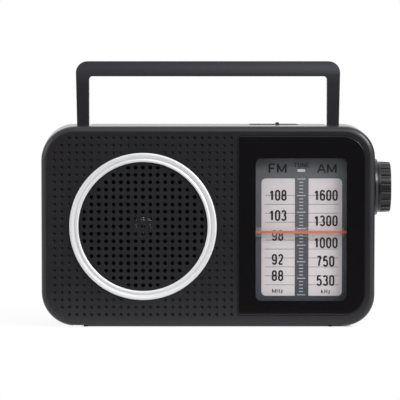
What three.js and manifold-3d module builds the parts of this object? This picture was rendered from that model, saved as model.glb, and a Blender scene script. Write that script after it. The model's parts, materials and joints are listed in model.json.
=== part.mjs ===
// A portable AM/FM table radio: a two-shell case with a perforated speaker front, a glazed
// slide-rule dial driven by a cord, a side tuning knob, a folding carrying handle and a
// telescopic antenna. Millimetres, +Z up, +X to the right of the front, the front looks along -Y.
// Every piece is drawn with X from the middle of the case, Y from its front face and Z from the
// table; the group at the end moves the whole radio so that its box stands centred on the origin.

import * as THREE from "three";
import { mergeGeometries, mergeVertices } from "three/addons/utils/BufferGeometryUtils.js";
import Module from "manifold-3d";

const wasm = await Module();
wasm.setup();

// ------------------------------------------------------------------ driving dimensions

const GAP = 0.3; // clearance kept between pieces that meet
const CASE = { width: 241, height: 144.5, depth: 68, corner: 21.6, edge: 4, wall: 2.2, front: 2.4 };
const FOOT = { proud: 1, width: 3.2, length: 14, sunk: 1.4, x: 88.7, frontY: 14, rearY: 54 };
const SEAM = 36; // where the front and rear shells meet
const STEP = { y: 60, z: 112, edge: 3 }; // the rear is cut back above this height for the antenna
const GRILLE = { pitch: 5.32, hole: 1.4, reach: 8, spread: 70, sides: 4 };
const RING = { outer: 53.2, inner: 46.3, proud: 1.4, sunk: 0.5, sides: 36 };
const PANEL = { left: 21.6, right: 113.4, low: 9.1, high: 138.4, thick: 2, proud: 0.6 };
const PANEL_CORNER = { left: 1.5, right: 14 };
const DIAL = { left: 34.3, right: 100.1, low: 19.3, high: 122.5, corner: 4.1, y: 6, thick: 1.5 };
const POINTER = { z: 69, y: 2.8, thick: 1.4, high: 7, left: 33.6, right: 110 };
const RAIL = { x: 103.8, y: 9.5, radius: 1, low: 8.5, length: 119.5, bore: 1.3 };
const LED = { x: 67.35, z: 113.45, width: 5.9, high: 2.1, deep: 9 };
const TUNING = { y: SEAM, z: 100, shaft: 3, pulley: 7, bush: 4.5, bore: 3.4 };
const SHAFT = { left: 99, right: 131 };
const CORD = { x: 108, width: 0.8, wheel: 5 };
const DRUM = { y: 40, z: 60, radius: 21, shaft: 2.5, shaftLeft: 91 };
const IDLER = { y: 10, high: 121, low: 21, radius: 4, pin: 1.2 };
const KNOB = { plate: 21.2, face: 123.9, collar: 126.1, end: 133.4, radius: 18.6 };
const FLUTE = { count: 20, depth: 1.1 };
const HANDLE = { top: 192, bar: 10.2, outer: 96.5, foot: 95.5, inner: 87, thick: 9, edge: 1.2 };
const HANDLE_CORNER = { outer: 8.3, inner: 2.5 };
const PIVOT = { z: 139.5, pin: 2, bore: 2.3 };
const SLOT = { inner: 85.9, outer: 97, floor: 134.5, wall: 1.5 };
const SPEAKER = { x: -47, z: 73.25, sides: 24 };
const SPRING = { y: 52, wide: 5.5, narrow: 3, high: 7, wire: 0.45 };
const BAY = { left: -22, right: 80, low: 8, high: 62, front: 39, wall: 1.6 };
const DOOR = { left: -26, right: 84, low: 6.3, high: 66, thick: 2 };
const HINGE = { y: 67, z: 7.3, radius: 0.5 };
const SWITCH = { left: 30.2, right: 66.2, front: 41.5, back: 50.5, sunk: 1.4, x: 50.7, travel: 5 };
const LEVER_WAY = [44, 48];
const VOLUME = { x: 110.5, z: 25, front: 50, back: 56, radius: 12, teeth: 24, shaft: 2 };
const ANTENNA = { x: 70, y: 64.4, z: 120.5, end: -92, base: 6.5, shaft: 3 };
const MAST = { tube: 3.25, inner: 2.45, rod: 1.65, wall: 0.5 };
const TONGUE = { half: 1.6, knuckle: 2.1, pin: 1, bore: 1.3 };
const VENTS = { count: 6, left: -84, right: -36, low: 74, pitch: 5, high: 1.8 };
const INLET = { x: [-101, -83], z: [22, 34], deep: 22, pin: 1.2, pinX: [-96.3, -87.7] };
const JACK = { y: 50, z: 45, nose: 3, bore: 1.75, deep: 15 };
const SCREWS = [[-104, 131], [104, 131], [-94, 10], [94, 10]];
const SCREW = { post: 4, bore: 1.7, shank: 1.4, head: 2.8, sink: 3.2 };
const BOARD = { y: 50.3, thick: 1.6, posts: [[16, 132], [76, 132], [16, 70]], post: 3 };
const FERRITE = { y: 20, z: 134, left: -78, length: 86, radius: 4, ribs: [-75, 5] };
const MAINS = { x: [-113, -80], y: [30, 44], z: [62, 103], limb: 8, yoke: 7, clear: 0.4 };

const HALF = CASE.width / 2;
const LOW = FOOT.proud;
const HIGH = LOW + CASE.height;
const REAR = CASE.depth;
const INNER_BACK = REAR - CASE.wall;

// ------------------------------------------------------------------ making solids

function solid(geometry) {
  geometry.deleteAttribute("normal");
  geometry.deleteAttribute("uv");
  const merged = mergeVertices(geometry, 1e-4);
  const mesh = new wasm.Mesh({
    numProp: 3,
    vertProperties: merged.attributes.position.array,
    triVerts: new Uint32Array(merged.index.array),
  });
  return new wasm.Manifold(mesh);
}

function geometryOf(body) {
  const mesh = body.getMesh();
  const geometry = new THREE.BufferGeometry();
  geometry.setAttribute("position", new THREE.BufferAttribute(mesh.vertProperties, 3));
  geometry.setIndex(new THREE.BufferAttribute(mesh.triVerts, 1));
  geometry.computeVertexNormals();
  return geometry;
}

function joined(parts) {
  return parts.reduce((sum, part) => sum.add(part));
}

function cut(body, ...tools) {
  return tools.reduce((rest, tool) => rest.subtract(tool), body);
}

// A box from its low and high value on each axis.
function block(x, y, z) {
  const geometry = new THREE.BoxGeometry(x[1] - x[0], y[1] - y[0], z[1] - z[0]);
  geometry.translate((x[0] + x[1]) / 2, (y[0] + y[1]) / 2, (z[0] + z[1]) / 2);
  return solid(geometry);
}

// Turns a geometry whose axis is Y so that its axis is the one named, and moves it.
function aimed(geometry, axis, at) {
  if (axis === "x") geometry.rotateZ(-Math.PI / 2);
  if (axis === "z") geometry.rotateX(Math.PI / 2);
  geometry.translate(...at);
  return geometry;
}

// A round bar that starts at a point and runs along an axis.
function bar(axis, at, radius, length, sides = 12) {
  const geometry = new THREE.CylinderGeometry(radius, radius, length, sides);
  geometry.translate(0, length / 2, 0);
  return solid(aimed(geometry, axis, at));
}

// A turned piece from the [radius, height] pairs of its outline, in either order.
function turned(profile, axis, at, sides = SPEAKER.sides) {
  const outline = profile.map(([radius, height]) => new THREE.Vector2(radius, height));
  if (THREE.ShapeUtils.area(outline) < 0) outline.reverse();
  const onAxis = outline.findIndex((point) => point.x === 0);
  if (onAxis < 0) outline.push(outline[0].clone());
  return solid(aimed(new THREE.LatheGeometry(outline, sides), axis, at));
}

// A flat ring turned about an axis.
function hoop(axis, at, inner, outer, length, sides) {
  const profile = [[inner, 0], [outer, 0], [outer, length], [inner, length]];
  return turned(profile, axis, at, sides);
}

// A rectangle whose left and right corners have their own radii.
function rounded(x, z, left, right = left) {
  const shape = new THREE.Shape();
  const quarter = Math.PI / 2;
  shape.absarc(x[1] - right, z[1] - right, right, 0, quarter);
  shape.absarc(x[0] + left, z[1] - left, left, quarter, 2 * quarter);
  shape.absarc(x[0] + left, z[0] + left, left, 2 * quarter, 3 * quarter);
  shape.absarc(x[1] - right, z[0] + right, right, 3 * quarter, 4 * quarter);
  return shape;
}

// Extrudes an X-Z outline from one Y to another; bevel rounds both rims inside the outline.
// An arc of the outline becomes twice as many flats as there are segments.
function upright(shape, y, bevel = 0, segments = 2, bevelSegments = 2) {
  const geometry = new THREE.ExtrudeGeometry(shape, {
    depth: y[1] - y[0] - 2 * bevel,
    curveSegments: segments,
    bevelEnabled: bevel > 0,
    bevelThickness: bevel,
    bevelSize: bevel,
    bevelOffset: -bevel,
    bevelSegments,
  });
  geometry.rotateX(Math.PI / 2);
  geometry.translate(0, y[1] - bevel, 0);
  return solid(geometry);
}

// Extrudes a Y-Z outline from one X to another.
function sideways(shape, x, segments = 3) {
  const options = { depth: x[1] - x[0], curveSegments: segments, bevelEnabled: false };
  const geometry = new THREE.ExtrudeGeometry(shape, options);
  const along = new THREE.Vector3(1, 0, 0);
  const back = new THREE.Vector3(0, 1, 0);
  const up = new THREE.Vector3(0, 0, 1);
  geometry.applyMatrix4(new THREE.Matrix4().makeBasis(back, up, along));
  geometry.translate(x[0], 0, 0);
  return solid(geometry);
}

// Extrudes an X-Y outline upwards.
function raised(shape, z, segments = 1) {
  const options = { depth: z[1] - z[0], curveSegments: segments, bevelEnabled: false };
  const geometry = new THREE.ExtrudeGeometry(shape, options);
  geometry.translate(0, 0, z[0]);
  return solid(geometry);
}

// A round wire along a smooth curve through points.
function wire(points, radius, steps) {
  const path = new THREE.CatmullRomCurve3(points.map((p) => new THREE.Vector3(...p)));
  const section = new THREE.Shape();
  section.absarc(0, 0, radius, 0, 2 * Math.PI);
  const options = { steps, curveSegments: 3, extrudePath: path, bevelEnabled: false };
  return solid(new THREE.ExtrudeGeometry(section, options));
}

// A wheel outline with shallow grooves between its lands, in the plane it turns in.
function fluted(centre, radius, grooves, depth) {
  const shape = new THREE.Shape();
  const corners = [[0, 0], [0.62, 0], [0.72, 1], [0.9, 1]];
  for (let groove = 0; groove < grooves; groove++) {
    for (const [share, sunk] of corners) {
      const angle = ((groove + share) / grooves) * 2 * Math.PI;
      const reach = radius - sunk * depth;
      const point = [centre[0] + reach * Math.cos(angle), centre[1] + reach * Math.sin(angle)];
      if (groove + share === 0) shape.moveTo(...point);
      else shape.lineTo(...point);
    }
  }
  return shape;
}

// ------------------------------------------------------------------ the case

// The case outline, drawn in by a margin.
function caseOutline(inset, high = HIGH) {
  const x = [-HALF + inset, HALF - inset];
  const top = high === HIGH ? HIGH - inset : high;
  return rounded(x, [LOW + inset, top], CASE.corner - inset);
}

// The lower part of the rear, which keeps the full depth.
function lowerOutline(inset) {
  const lower = new THREE.Shape();
  const radius = CASE.corner - inset;
  const x = HALF - inset;
  const z = LOW + inset;
  const high = STEP.z - inset;
  lower.moveTo(x, high);
  lower.lineTo(-x, high);
  lower.absarc(-x + radius, z + radius, radius, Math.PI, 1.5 * Math.PI);
  lower.absarc(x - radius, z + radius, radius, 1.5 * Math.PI, 2 * Math.PI);
  return lower;
}

// The sound holes: every crossing of a square grid that lies inside a circle.
function soundHoles() {
  const holes = [];
  for (let column = -GRILLE.reach; column <= GRILLE.reach; column++) {
    for (let row = -GRILLE.reach; row <= GRILLE.reach; row++) {
      if (column ** 2 + row ** 2 > GRILLE.spread) continue;
      const depth = CASE.front + 2;
      const hole = new THREE.CylinderGeometry(GRILLE.hole, GRILLE.hole, depth, GRILLE.sides);
      const x = SPEAKER.x + column * GRILLE.pitch;
      const z = SPEAKER.z + row * GRILLE.pitch;
      holes.push(aimed(hole, "y", [x, CASE.front / 2, z]));
    }
  }
  return solid(mergeGeometries(holes));
}

function screwPost(x, z, y) {
  const length = y[1] - y[0];
  const post = bar("y", [x, y[0], z], SCREW.post, length);
  return { post, bore: bar("y", [x, y[0] - 1, z], SCREW.bore, length + 2, 8) };
}

// The pocket that a handle leg stands in: its walls, and the space cut out of them.
function legPocket(side, y, openBack) {
  const { inner, outer, floor, wall } = SLOT;
  const x = side < 0 ? [-outer, -inner] : [inner, outer];
  const back = openBack ? y[1] + wall + 3 : y[1];
  return {
    walls: block([x[0] - wall, x[1] + wall], y, [floor - wall, HIGH - 1]),
    space: block(x, [openBack ? y[0] - 1 : y[0] + wall, back + 1], [floor, HIGH + 1]),
    pin: bar("x", [x[0] - wall - 1, SEAM, PIVOT.z], PIVOT.bore, outer - inner + 2 * wall + 2),
  };
}

function footSlot(x, y) {
  const w = FOOT.width / 2 + GAP;
  const l = FOOT.length / 2 + GAP;
  return block([x - w, x + w], [y - l, y + l], [LOW - 1, LOW + FOOT.sunk + GAP]);
}

// The way through both shells for the tuning knob's bush.
function bushHole() {
  return bar("x", [HALF - 5, TUNING.y, TUNING.z], TUNING.bush + GAP, 10, 16);
}

function frontShell() {
  const skin = upright(caseOutline(0), [0, SEAM + 10], CASE.edge, 4, 3);
  const half = skin.intersect(block([-HALF, HALF], [0, SEAM - GAP / 2], [LOW, HIGH]));
  return cut(half, upright(caseOutline(CASE.wall), [CASE.front, SEAM + 10], 0, 4));
}

// Ribs that carry the ferrite rod, posts for the board, blocks and pins for the dial's drive.
function frontFittings() {
  const from = CASE.front - 1;
  const posts = BOARD.posts.map(([x, z]) =>
    bar("y", [x, from, z], BOARD.post, BOARD.y - GAP - from, 8),
  );
  const ribs = FERRITE.ribs.map((x) =>
    block([x - 1, x + 1], [FERRITE.y - 6, FERRITE.y + 6], [FERRITE.z - 5, HIGH - 1]),
  );
  const railEnds = [[LOW + 1, RAIL.low + 5], [RAIL.low + RAIL.length - 0.5, RAIL.low + RAIL.length + 4]];
  const blocks = railEnds.map((z) => block([RAIL.x - 2, RAIL.x + 2.2], [1, RAIL.y + 2.5], z));
  const pins = [IDLER.high, IDLER.low].map((z) =>
    bar("x", [105, IDLER.y, z], IDLER.pin, HALF - 1 - 105, 8),
  );
  return [...posts, ...ribs, ...blocks, ...pins];
}

// The seat and the opening of the dial, and the seat of the ring.
function frontSeats() {
  const { left, right, low, high, thick, proud } = PANEL;
  const corner = PANEL_CORNER;
  const seat = rounded([left - GAP, right + GAP], [low - GAP, high + GAP], corner.left, corner.right);
  const opening = rounded([DIAL.left, DIAL.right], [DIAL.low, DIAL.high], DIAL.corner);
  const groove = RING.sunk + GAP + 1;
  const ringAt = [SPEAKER.x, -1, SPEAKER.z];
  return [
    upright(seat, [-1, thick - proud + GAP], 0, 3),
    upright(opening, [-1, CASE.front + 1]),
    hoop("y", ringAt, RING.inner - GAP, RING.outer + GAP, groove, RING.sides),
  ];
}

function frontCabinet() {
  const back = SEAM - GAP / 2;
  const screws = SCREWS.map(([x, z]) => screwPost(x, z, [CASE.front - 1, back]));
  const pockets = [-1, 1].map((side) =>
    legPocket(side, [SEAM - HANDLE.thick / 2 - 2, back], false),
  );
  // The screws' bores stop well behind the front face.
  const face = block([-HALF, HALF], [-2, SEAM - 18], [LOW, HIGH]);
  return cut(
    joined([
      frontShell(),
      ...frontFittings(),
      ...screws.map(({ post }) => post),
      ...pockets.map(({ walls }) => walls),
    ]),
    soundHoles(),
    ...frontSeats(),
    ...screws.map(({ bore }) => cut(bore, face)),
    ...pockets.flatMap(({ space, pin }) => [space, pin]),
    ...[-1, 1].map((side) => footSlot(side * FOOT.x, FOOT.frontY)),
    bar("x", [FERRITE.left - 2, FERRITE.y, FERRITE.z], FERRITE.radius + GAP, FERRITE.length + 4),
    bar("z", [RAIL.x, RAIL.y, RAIL.low - 0.5], RAIL.bore, RAIL.length + 1.5, 8),
    bushHole(),
  );
}

function rearShell() {
  const front = SEAM + GAP / 2;
  const upper = upright(caseOutline(0), [SEAM - 10, STEP.y], STEP.edge, 4);
  const lower = upright(lowerOutline(0), [SEAM - 10, REAR], STEP.edge, 4);
  const skin = upper.add(lower).intersect(block([-HALF, HALF], [front, REAR], [LOW, HIGH]));
  const upperHollow = upright(caseOutline(CASE.wall), [SEAM - 11, STEP.y - CASE.wall], 0, 4);
  const lowerHollow = upright(lowerOutline(CASE.wall), [SEAM - 11, INNER_BACK], 0, 4);
  return cut(skin, upperHollow, lowerHollow);
}

// The battery bay: a box open to the rear, with a ledge round it behind the door.
function batteryBay() {
  const { left, right, low, high, front, wall } = BAY;
  const ledge = [INNER_BACK - 2.2, INNER_BACK - 0.6];
  const wide = [DOOR.left - GAP, DOOR.right + GAP];
  const hinge = [DOOR.left - 2, HINGE.y, HINGE.z];
  return {
    walls: [
      block([left - wall, right + wall], [front - wall, INNER_BACK - 1], [low - wall, high + wall]),
      block([DOOR.left - 2, DOOR.right + 2], ledge, [LOW + 1, DOOR.high + 2]),
    ],
    space: [
      block([left, right], [front, REAR + 1], [low, high]),
      block(wide, [ledge[1], REAR + 1], [DOOR.low - 0.7, DOOR.high + GAP]),
      bar("x", hinge, HINGE.radius + 0.35, DOOR.right - DOOR.left + 4, 6),
    ],
  };
}

// The band switch's recess and lever slot, in a thickened patch of the top.
function switchRecess() {
  const { left, right, front, back, sunk, x, travel } = SWITCH;
  const under = [HIGH - 3.4, HIGH - 1];
  return {
    patch: block([left - 2, right + 2], [front - 2, back + 2], under),
    space: [
      block([left, right], [front, back], [HIGH - sunk, HIGH + 1]),
      block([x - travel - 2, x + 2], LEVER_WAY, [HIGH - 5, HIGH]),
    ],
  };
}

// The ways through the rear shell for the wheel, the mast, the sockets and warm air.
function rearOpenings() {
  const wheel = [VOLUME.front - 0.6, VOLUME.back + 0.6];
  const vents = Array.from({ length: VENTS.count }, (_, index) => {
    const z = VENTS.low + index * VENTS.pitch;
    return block([VENTS.left, VENTS.right], [REAR - 4, REAR + 1], [z, z + VENTS.high]);
  });
  const inletX = [INLET.x[0] - GAP, INLET.x[1] + GAP];
  const inletZ = [INLET.z[0] - GAP, INLET.z[1] + GAP];
  return [
    block([HALF - 9, HALF + 1], wheel, [VOLUME.z - 11, VOLUME.z + 11]),
    bar("y", [ANTENNA.x, STEP.y - 5, ANTENNA.z], ANTENNA.shaft + GAP, 10),
    block(inletX, [REAR - 4, REAR + 1], inletZ),
    bar("x", [-HALF - 1, JACK.y, JACK.z], JACK.nose + GAP, 5),
    ...vents,
    bushHole(),
  ];
}

function rearCabinet() {
  const front = SEAM + GAP / 2;
  const posts = SCREWS.map(([x, z]) => screwPost(x, z, [front, (z > STEP.z ? STEP.y : REAR) - 1]));
  const pockets = [-1, 1].map((side) => legPocket(side, [front, STEP.y - 1], true));
  const bay = batteryBay();
  const recess = switchRecess();
  return cut(
    joined([
      rearShell(),
      recess.patch,
      ...bay.walls,
      ...posts.map(({ post }) => post),
      ...pockets.map(({ walls }) => walls),
    ]),
    ...posts.map(({ bore }) => bore),
    ...SCREWS.map(([x, z]) => bar("y", [x, SEAM + 8, z], SCREW.sink, 40)),
    ...pockets.flatMap(({ space, pin }) => [space, pin]),
    ...[-1, 1].map((side) => footSlot(side * FOOT.x, FOOT.rearY)),
    ...bay.space,
    ...recess.space,
    ...rearOpenings(),
  );
}

function foot(x, y) {
  const w = FOOT.width / 2;
  const l = FOOT.length / 2;
  return raised(rounded([x - w, x + w], [y - l, y + l], w - 0.2), [0, LOW + FOOT.sunk]);
}

function cabinetScrew(x, z) {
  const shank = bar("y", [x, SEAM - 14, z], SCREW.shank, 23, 8);
  return shank.add(bar("y", [x, SEAM + 8.5, z], SCREW.head, 2));
}

// ------------------------------------------------------------------ the front trim and dial

function trimRing() {
  const { inner, outer, proud, sunk } = RING;
  const crown = [[inner, sunk], [inner, -0.4], [inner + 1.6, -proud + 0.3], [outer - 1.6, -proud]];
  const profile = [...crown, [outer, -0.5], [outer, sunk]];
  return turned(profile, "y", [SPEAKER.x, 0, SPEAKER.z], RING.sides);
}

function dialWindow() {
  const { left, right, low, high, thick, proud } = PANEL;
  const shape = rounded([left, right], [low, high], PANEL_CORNER.left, PANEL_CORNER.right);
  return upright(shape, [-proud, thick - proud], 0.4, 3, 1);
}

function dialPlate() {
  const wall = 1.5;
  const x = [DIAL.left - 3, DIAL.right + 1.4];
  const y = [CASE.front + GAP, DIAL.y + DIAL.thick];
  const z = [DIAL.low - 3.5, DIAL.high + 3.5];
  const sides = [
    block(x, [DIAL.y, y[1]], z),
    block([x[0], x[0] + wall], y, z),
    block(x, y, [z[0], z[0] + wall]),
    block(x, y, [z[1] - wall, z[1]]),
  ];
  const w = LED.width / 2 + GAP;
  const h = LED.high / 2 + GAP;
  const window = block([LED.x - w, LED.x + w], [y[0], y[1] + 1], [LED.z - h, LED.z + h]);
  return cut(joined(sides), window);
}

function tuneLamp() {
  const w = LED.width / 2;
  const h = LED.high / 2;
  const front = DIAL.y - 0.4;
  return block([LED.x - w, LED.x + w], [front, front + LED.deep], [LED.z - h, LED.z + h]);
}

function dialPointer() {
  const { z, y, thick, high, left, right } = POINTER;
  const tall = [z - high / 2, z + high / 2];
  const blade = upright(rounded([left, RAIL.x], tall, 1), [y, y + thick], 0, 1);
  const carriage = block([RAIL.x - 1.8, right], [y, RAIL.y + 2.5], tall);
  const run = IDLER.y - IDLER.radius;
  const way = CORD.width / 2 + GAP;
  const cordWay = block(
    [CORD.x - way, CORD.x + way],
    [run - CORD.width - GAP, run + GAP],
    [z - high, z + high],
  );
  const bore = bar("z", [RAIL.x, RAIL.y, z - high], RAIL.bore, 2 * high, 8);
  return cut(blade.add(carriage), cordWay, bore);
}

function pointerRail() {
  return bar("z", [RAIL.x, RAIL.y, RAIL.low], RAIL.radius, RAIL.length, 8);
}

// ------------------------------------------------------------------ the tuning drive

// The wheels that the dial cord passes, anticlockwise as seen from the right.
const CORD_WHEELS = [
  { y: IDLER.y, z: IDLER.low, radius: IDLER.radius },
  { y: DRUM.y, z: DRUM.z, radius: DRUM.radius },
  { y: TUNING.y, z: TUNING.z, radius: TUNING.pulley },
  { y: IDLER.y, z: IDLER.high, radius: IDLER.radius },
];

// A belt line round the wheels, at a distance outside their radii.
function beltLine(offset) {
  const line = new THREE.Shape();
  const count = CORD_WHEELS.length;
  const leaving = CORD_WHEELS.map((from, index) => {
    const to = CORD_WHEELS[(index + 1) % count];
    const span = Math.hypot(to.y - from.y, to.z - from.z);
    const heading = Math.atan2(to.z - from.z, to.y - from.y);
    return heading - Math.acos((from.radius - to.radius) / span);
  });
  CORD_WHEELS.forEach((wheel, index) => {
    const start = leaving[(index + count - 1) % count];
    line.absarc(wheel.y, wheel.z, wheel.radius + offset, start, leaving[index]);
  });
  return line;
}

function dialCord() {
  const loop = beltLine(CORD.width);
  loop.holes.push(beltLine(0));
  const x = [CORD.x - CORD.width / 2, CORD.x + CORD.width / 2];
  return sideways(loop, x, 4);
}

// A grooved wheel centred on the cord, with a round bore.
function cordWheel(y, z, radius, bore, sides) {
  const width = CORD.wheel;
  const rim = radius + 1.2;
  const bed = radius - GAP;
  const side = (width - 1.6) / 2;
  const groove = [[rim, side - 0.4], [bed, side], [bed, width - side], [rim, width - side + 0.4]];
  const profile = [[bore, 0], [rim, 0], ...groove, [rim, width], [bore, width]];
  return turned(profile, "x", [CORD.x - width / 2, y, z], sides);
}

function dialDrum() {
  const wheel = cordWheel(DRUM.y, DRUM.z, DRUM.radius, 2, 24);
  const end = CORD.x + CORD.wheel / 2;
  const stub = bar("x", [DRUM.shaftLeft, DRUM.y, DRUM.z], DRUM.shaft, end - DRUM.shaftLeft);
  return wheel.add(stub);
}

function idlerWheel(z) {
  return cordWheel(IDLER.y, z, IDLER.radius, IDLER.pin + GAP, 10);
}

function tuningCapacitor() {
  const half = 10;
  const back = BOARD.y - GAP;
  const body = block([84, 96], [DRUM.y - half, back], [DRUM.z - half, DRUM.z + half]);
  return cut(body, bar("x", [90, DRUM.y, DRUM.z], DRUM.shaft + GAP, 10));
}

function tuningShaft() {
  const wheel = cordWheel(TUNING.y, TUNING.z, TUNING.pulley, 2, 14);
  const { left, right } = SHAFT;
  return wheel.add(bar("x", [left, TUNING.y, TUNING.z], TUNING.shaft, right - left));
}

function shaftBracket() {
  const z = [TUNING.z - 6, TUNING.z + 6];
  const back = BOARD.y - GAP;
  const thick = 1.5;
  const x = SHAFT.left + 2;
  const arm = block([x, x + thick], [TUNING.y - 5, back], z);
  const base = block([x - 13, x + thick], [back - thick, back], z);
  return cut(arm.add(base), bar("x", [x - 3, TUNING.y, TUNING.z], TUNING.shaft + GAP, 6));
}

function knobPlate() {
  const x = HALF + GAP;
  const bush = bar("x", [HALF - 4, TUNING.y, TUNING.z], TUNING.bush, 5, 16);
  const thick = KNOB.face - x;
  const edge = [[KNOB.plate, 0], [KNOB.plate, thick - 1.2], [KNOB.plate - 1.2, thick]];
  const plate = turned([[0, 0], ...edge, [0, thick]], "x", [x, TUNING.y, TUNING.z], 28);
  return cut(plate.add(bush), bar("x", [HALF - 6, TUNING.y, TUNING.z], TUNING.bore, 12, 16));
}

function tuningKnob() {
  const { face, collar: front, end, radius } = KNOB;
  const start = face + GAP;
  const collar = bar("x", [start, TUNING.y, TUNING.z], radius - 1, front - start + 0.1, 24);
  const outline = fluted([TUNING.y, TUNING.z], radius, FLUTE.count, FLUTE.depth);
  const depth = SHAFT.right + GAP - start;
  const bore = bar("x", [start - 1, TUNING.y, TUNING.z], TUNING.shaft + GAP, depth + 1);
  return cut(collar.add(sideways(outline, [front, end])), bore);
}

// ------------------------------------------------------------------ controls on the case

function bandSlider() {
  const { x, front, back, sunk } = SWITCH;
  const floor = HIGH - sunk + GAP;
  const y = [front + 0.8, back - 0.8];
  const plate = block([x - 9.2, x + 9.2], y, [floor, HIGH + 0.1]);
  const rib = bar("y", [x + 0.3, y[0], HIGH - 0.2], 1.45, y[1] - y[0], 12);
  const nub = rib.intersect(block([x - 9, x + 9], [front, back], [floor, HIGH + 5]));
  const leverY = [LEVER_WAY[0] + 0.4, LEVER_WAY[1] - 0.4];
  const lever = block([x - 1.5, x + 1.5], leverY, [HIGH - 10.5, floor + 0.5]);
  return joined([plate, nub, lever]);
}

function bandSwitchBody() {
  const { x, travel } = SWITCH;
  const body = block([x - 12, x + 7], [42, BOARD.y - GAP], [HIGH - 17.5, HIGH - 8.5]);
  return cut(body, block([x - travel - 2, x + 2], LEVER_WAY, [HIGH - 11.5, HIGH]));
}

function volumeWheel() {
  const { x, z, front, back, radius, teeth, shaft } = VOLUME;
  const disc = upright(fluted([x, z], radius, teeth, 0.6), [front, back]);
  return cut(disc, bar("y", [x, front - 1, z], shaft + GAP, 5));
}

function volumeControl() {
  const { x, z, front, shaft } = VOLUME;
  const body = block([x - 9.5, x + 6], [front - 7, front - GAP], [z - 7, z + 9]);
  return body.add(bar("y", [x, front - 1, z], shaft, 4.5));
}

// The outline of the handle, whose legs stop square under their pins.
function handleOutline(tip) {
  const { top, bar: barHigh, outer, foot: low, inner } = HANDLE;
  const { outer: round, inner: hollow } = HANDLE_CORNER;
  const outline = new THREE.Shape();
  outline.moveTo(low, tip);
  outline.lineTo(outer, top - round);
  outline.absarc(outer - round, top - round, round, 0, Math.PI / 2);
  outline.absarc(-outer + round, top - round, round, Math.PI / 2, Math.PI);
  outline.lineTo(-low, tip);
  outline.lineTo(-inner, tip);
  const under = top - barHigh - hollow;
  outline.absarc(-inner + hollow, under, hollow, Math.PI, Math.PI / 2, true);
  outline.absarc(inner - hollow, under, hollow, Math.PI / 2, 0, true);
  outline.lineTo(inner, tip);
  return outline;
}

// Each leg ends round, about its pin.
function handle() {
  const half = HANDLE.thick / 2;
  const tip = PIVOT.z - half;
  const body = upright(handleOutline(tip), [SEAM - half, SEAM + half], HANDLE.edge, 3);
  const end = block([-HALF, HALF], [SEAM - 2 * half, SEAM + 2 * half], [tip - 1, PIVOT.z]);
  const keep = bar("x", [-HALF, SEAM, PIVOT.z], half, CASE.width, 16);
  return cut(body, end.subtract(keep), bar("x", [-HALF, SEAM, PIVOT.z], PIVOT.bore, CASE.width));
}

function handlePin(side) {
  const length = SLOT.outer - SLOT.inner + 2 * SLOT.wall;
  const x = side < 0 ? -SLOT.outer - SLOT.wall : SLOT.inner - SLOT.wall;
  return bar("x", [x, SEAM, PIVOT.z], PIVOT.pin, length);
}

// ------------------------------------------------------------------ the loudspeaker

function speakerPiece(profile) {
  return turned(profile, "y", [SPEAKER.x, 0, SPEAKER.z]);
}

function speakerGasket() {
  return speakerPiece([[46, 2.7], [50.5, 2.7], [50.5, 4.2], [46, 4.2]]);
}

function speakerFrame() {
  const outside = [[51, 4.5], [51, 5.7], [45.9, 5.7], [45.9, 11.5], [22.4, 26.2]];
  const inside = [[13, 26.2], [13, 25], [21.6, 25], [44.7, 10.8], [44.7, 4.5]];
  const basket = speakerPiece([...outside, ...inside]);
  const window = block([-44, 44], [11, 22], [-9, 9]);
  const tools = [45, 135].map((turn) =>
    window.rotate([0, turn, 0]).translate([SPEAKER.x, 0, SPEAKER.z]),
  );
  return cut(basket, ...tools);
}

function speakerSurround() {
  const crown = [[44.2, 7.2], [42.9, 5.2], [41, 4.4], [39.1, 5.2], [38.1, 7.2]];
  const under = [[38.1, 7.8], [39.7, 5.9], [41, 5.2], [42.3, 5.9], [44.2, 7.8]];
  return speakerPiece([...under, ...crown]);
}

function speakerCone() {
  return speakerPiece([[37.6, 7], [37.6, 7.8], [11, 22.2], [11, 21.2]]);
}

// A shallow dome, as seen from the front.
function dustCap() {
  const radius = 15;
  const steps = 3;
  const dome = Array.from({ length: steps + 1 }, (_, step) => {
    const angle = (step / steps) * 0.9;
    return [radius * Math.sin(angle), 13 + radius * (1 - Math.cos(angle))];
  });
  const inner = dome.map(([reach, height]) => [reach * 0.94, height + 0.8]).reverse();
  return speakerPiece([...dome, ...inner]);
}

function voiceCoil() {
  return speakerPiece([[9.7, 21.4], [10.6, 21.4], [10.6, 34], [9.7, 34]]);
}

function speakerTopPlate() {
  return speakerPiece([[11.2, 26.5], [20, 26.5], [20, 30], [11.2, 30]]);
}

function speakerMagnet() {
  return speakerPiece([[12, 30.3], [21.5, 30.3], [21.5, 40], [12, 40]]);
}

function speakerYoke() {
  return speakerPiece([[0, 28], [9.2, 28], [9.2, 40.3], [20.5, 40.3], [20.5, 43.5], [0, 43.5]]);
}

// ------------------------------------------------------------------ electronics

function circuitBoard() {
  const y = [BOARD.y, BOARD.y + BOARD.thick];
  const main = block([-18, 80], y, [66, 138]);
  return joined([main, block([79, 98], y, [66, 124]), block([83.2, 98], y, [46, 67])]);
}

function onBoard(x, z, high) {
  return block(x, [BOARD.y - GAP - high, BOARD.y - GAP], z);
}

function filterCapacitor() {
  const high = 16;
  return bar("y", [6, BOARD.y - GAP - high, 120], 5, high);
}

function ferriteRod() {
  return bar("x", [FERRITE.left, FERRITE.y, FERRITE.z], FERRITE.radius, FERRITE.length);
}

// The transformer's windows: two slots either side of the limb that carries the winding.
function transformerCore() {
  const { x, y, z, limb, yoke } = MAINS;
  const slotX = [x[0] + yoke - 2, x[1] - yoke + 2];
  const slotY = [y[0] - 1, y[1] + 1];
  const lowSlot = block(slotX, slotY, [z[0] + yoke, z[0] + yoke + limb]);
  const highSlot = block(slotX, slotY, [z[1] - yoke - limb, z[1] - yoke]);
  return cut(block(x, y, z), lowSlot, highSlot);
}

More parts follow.
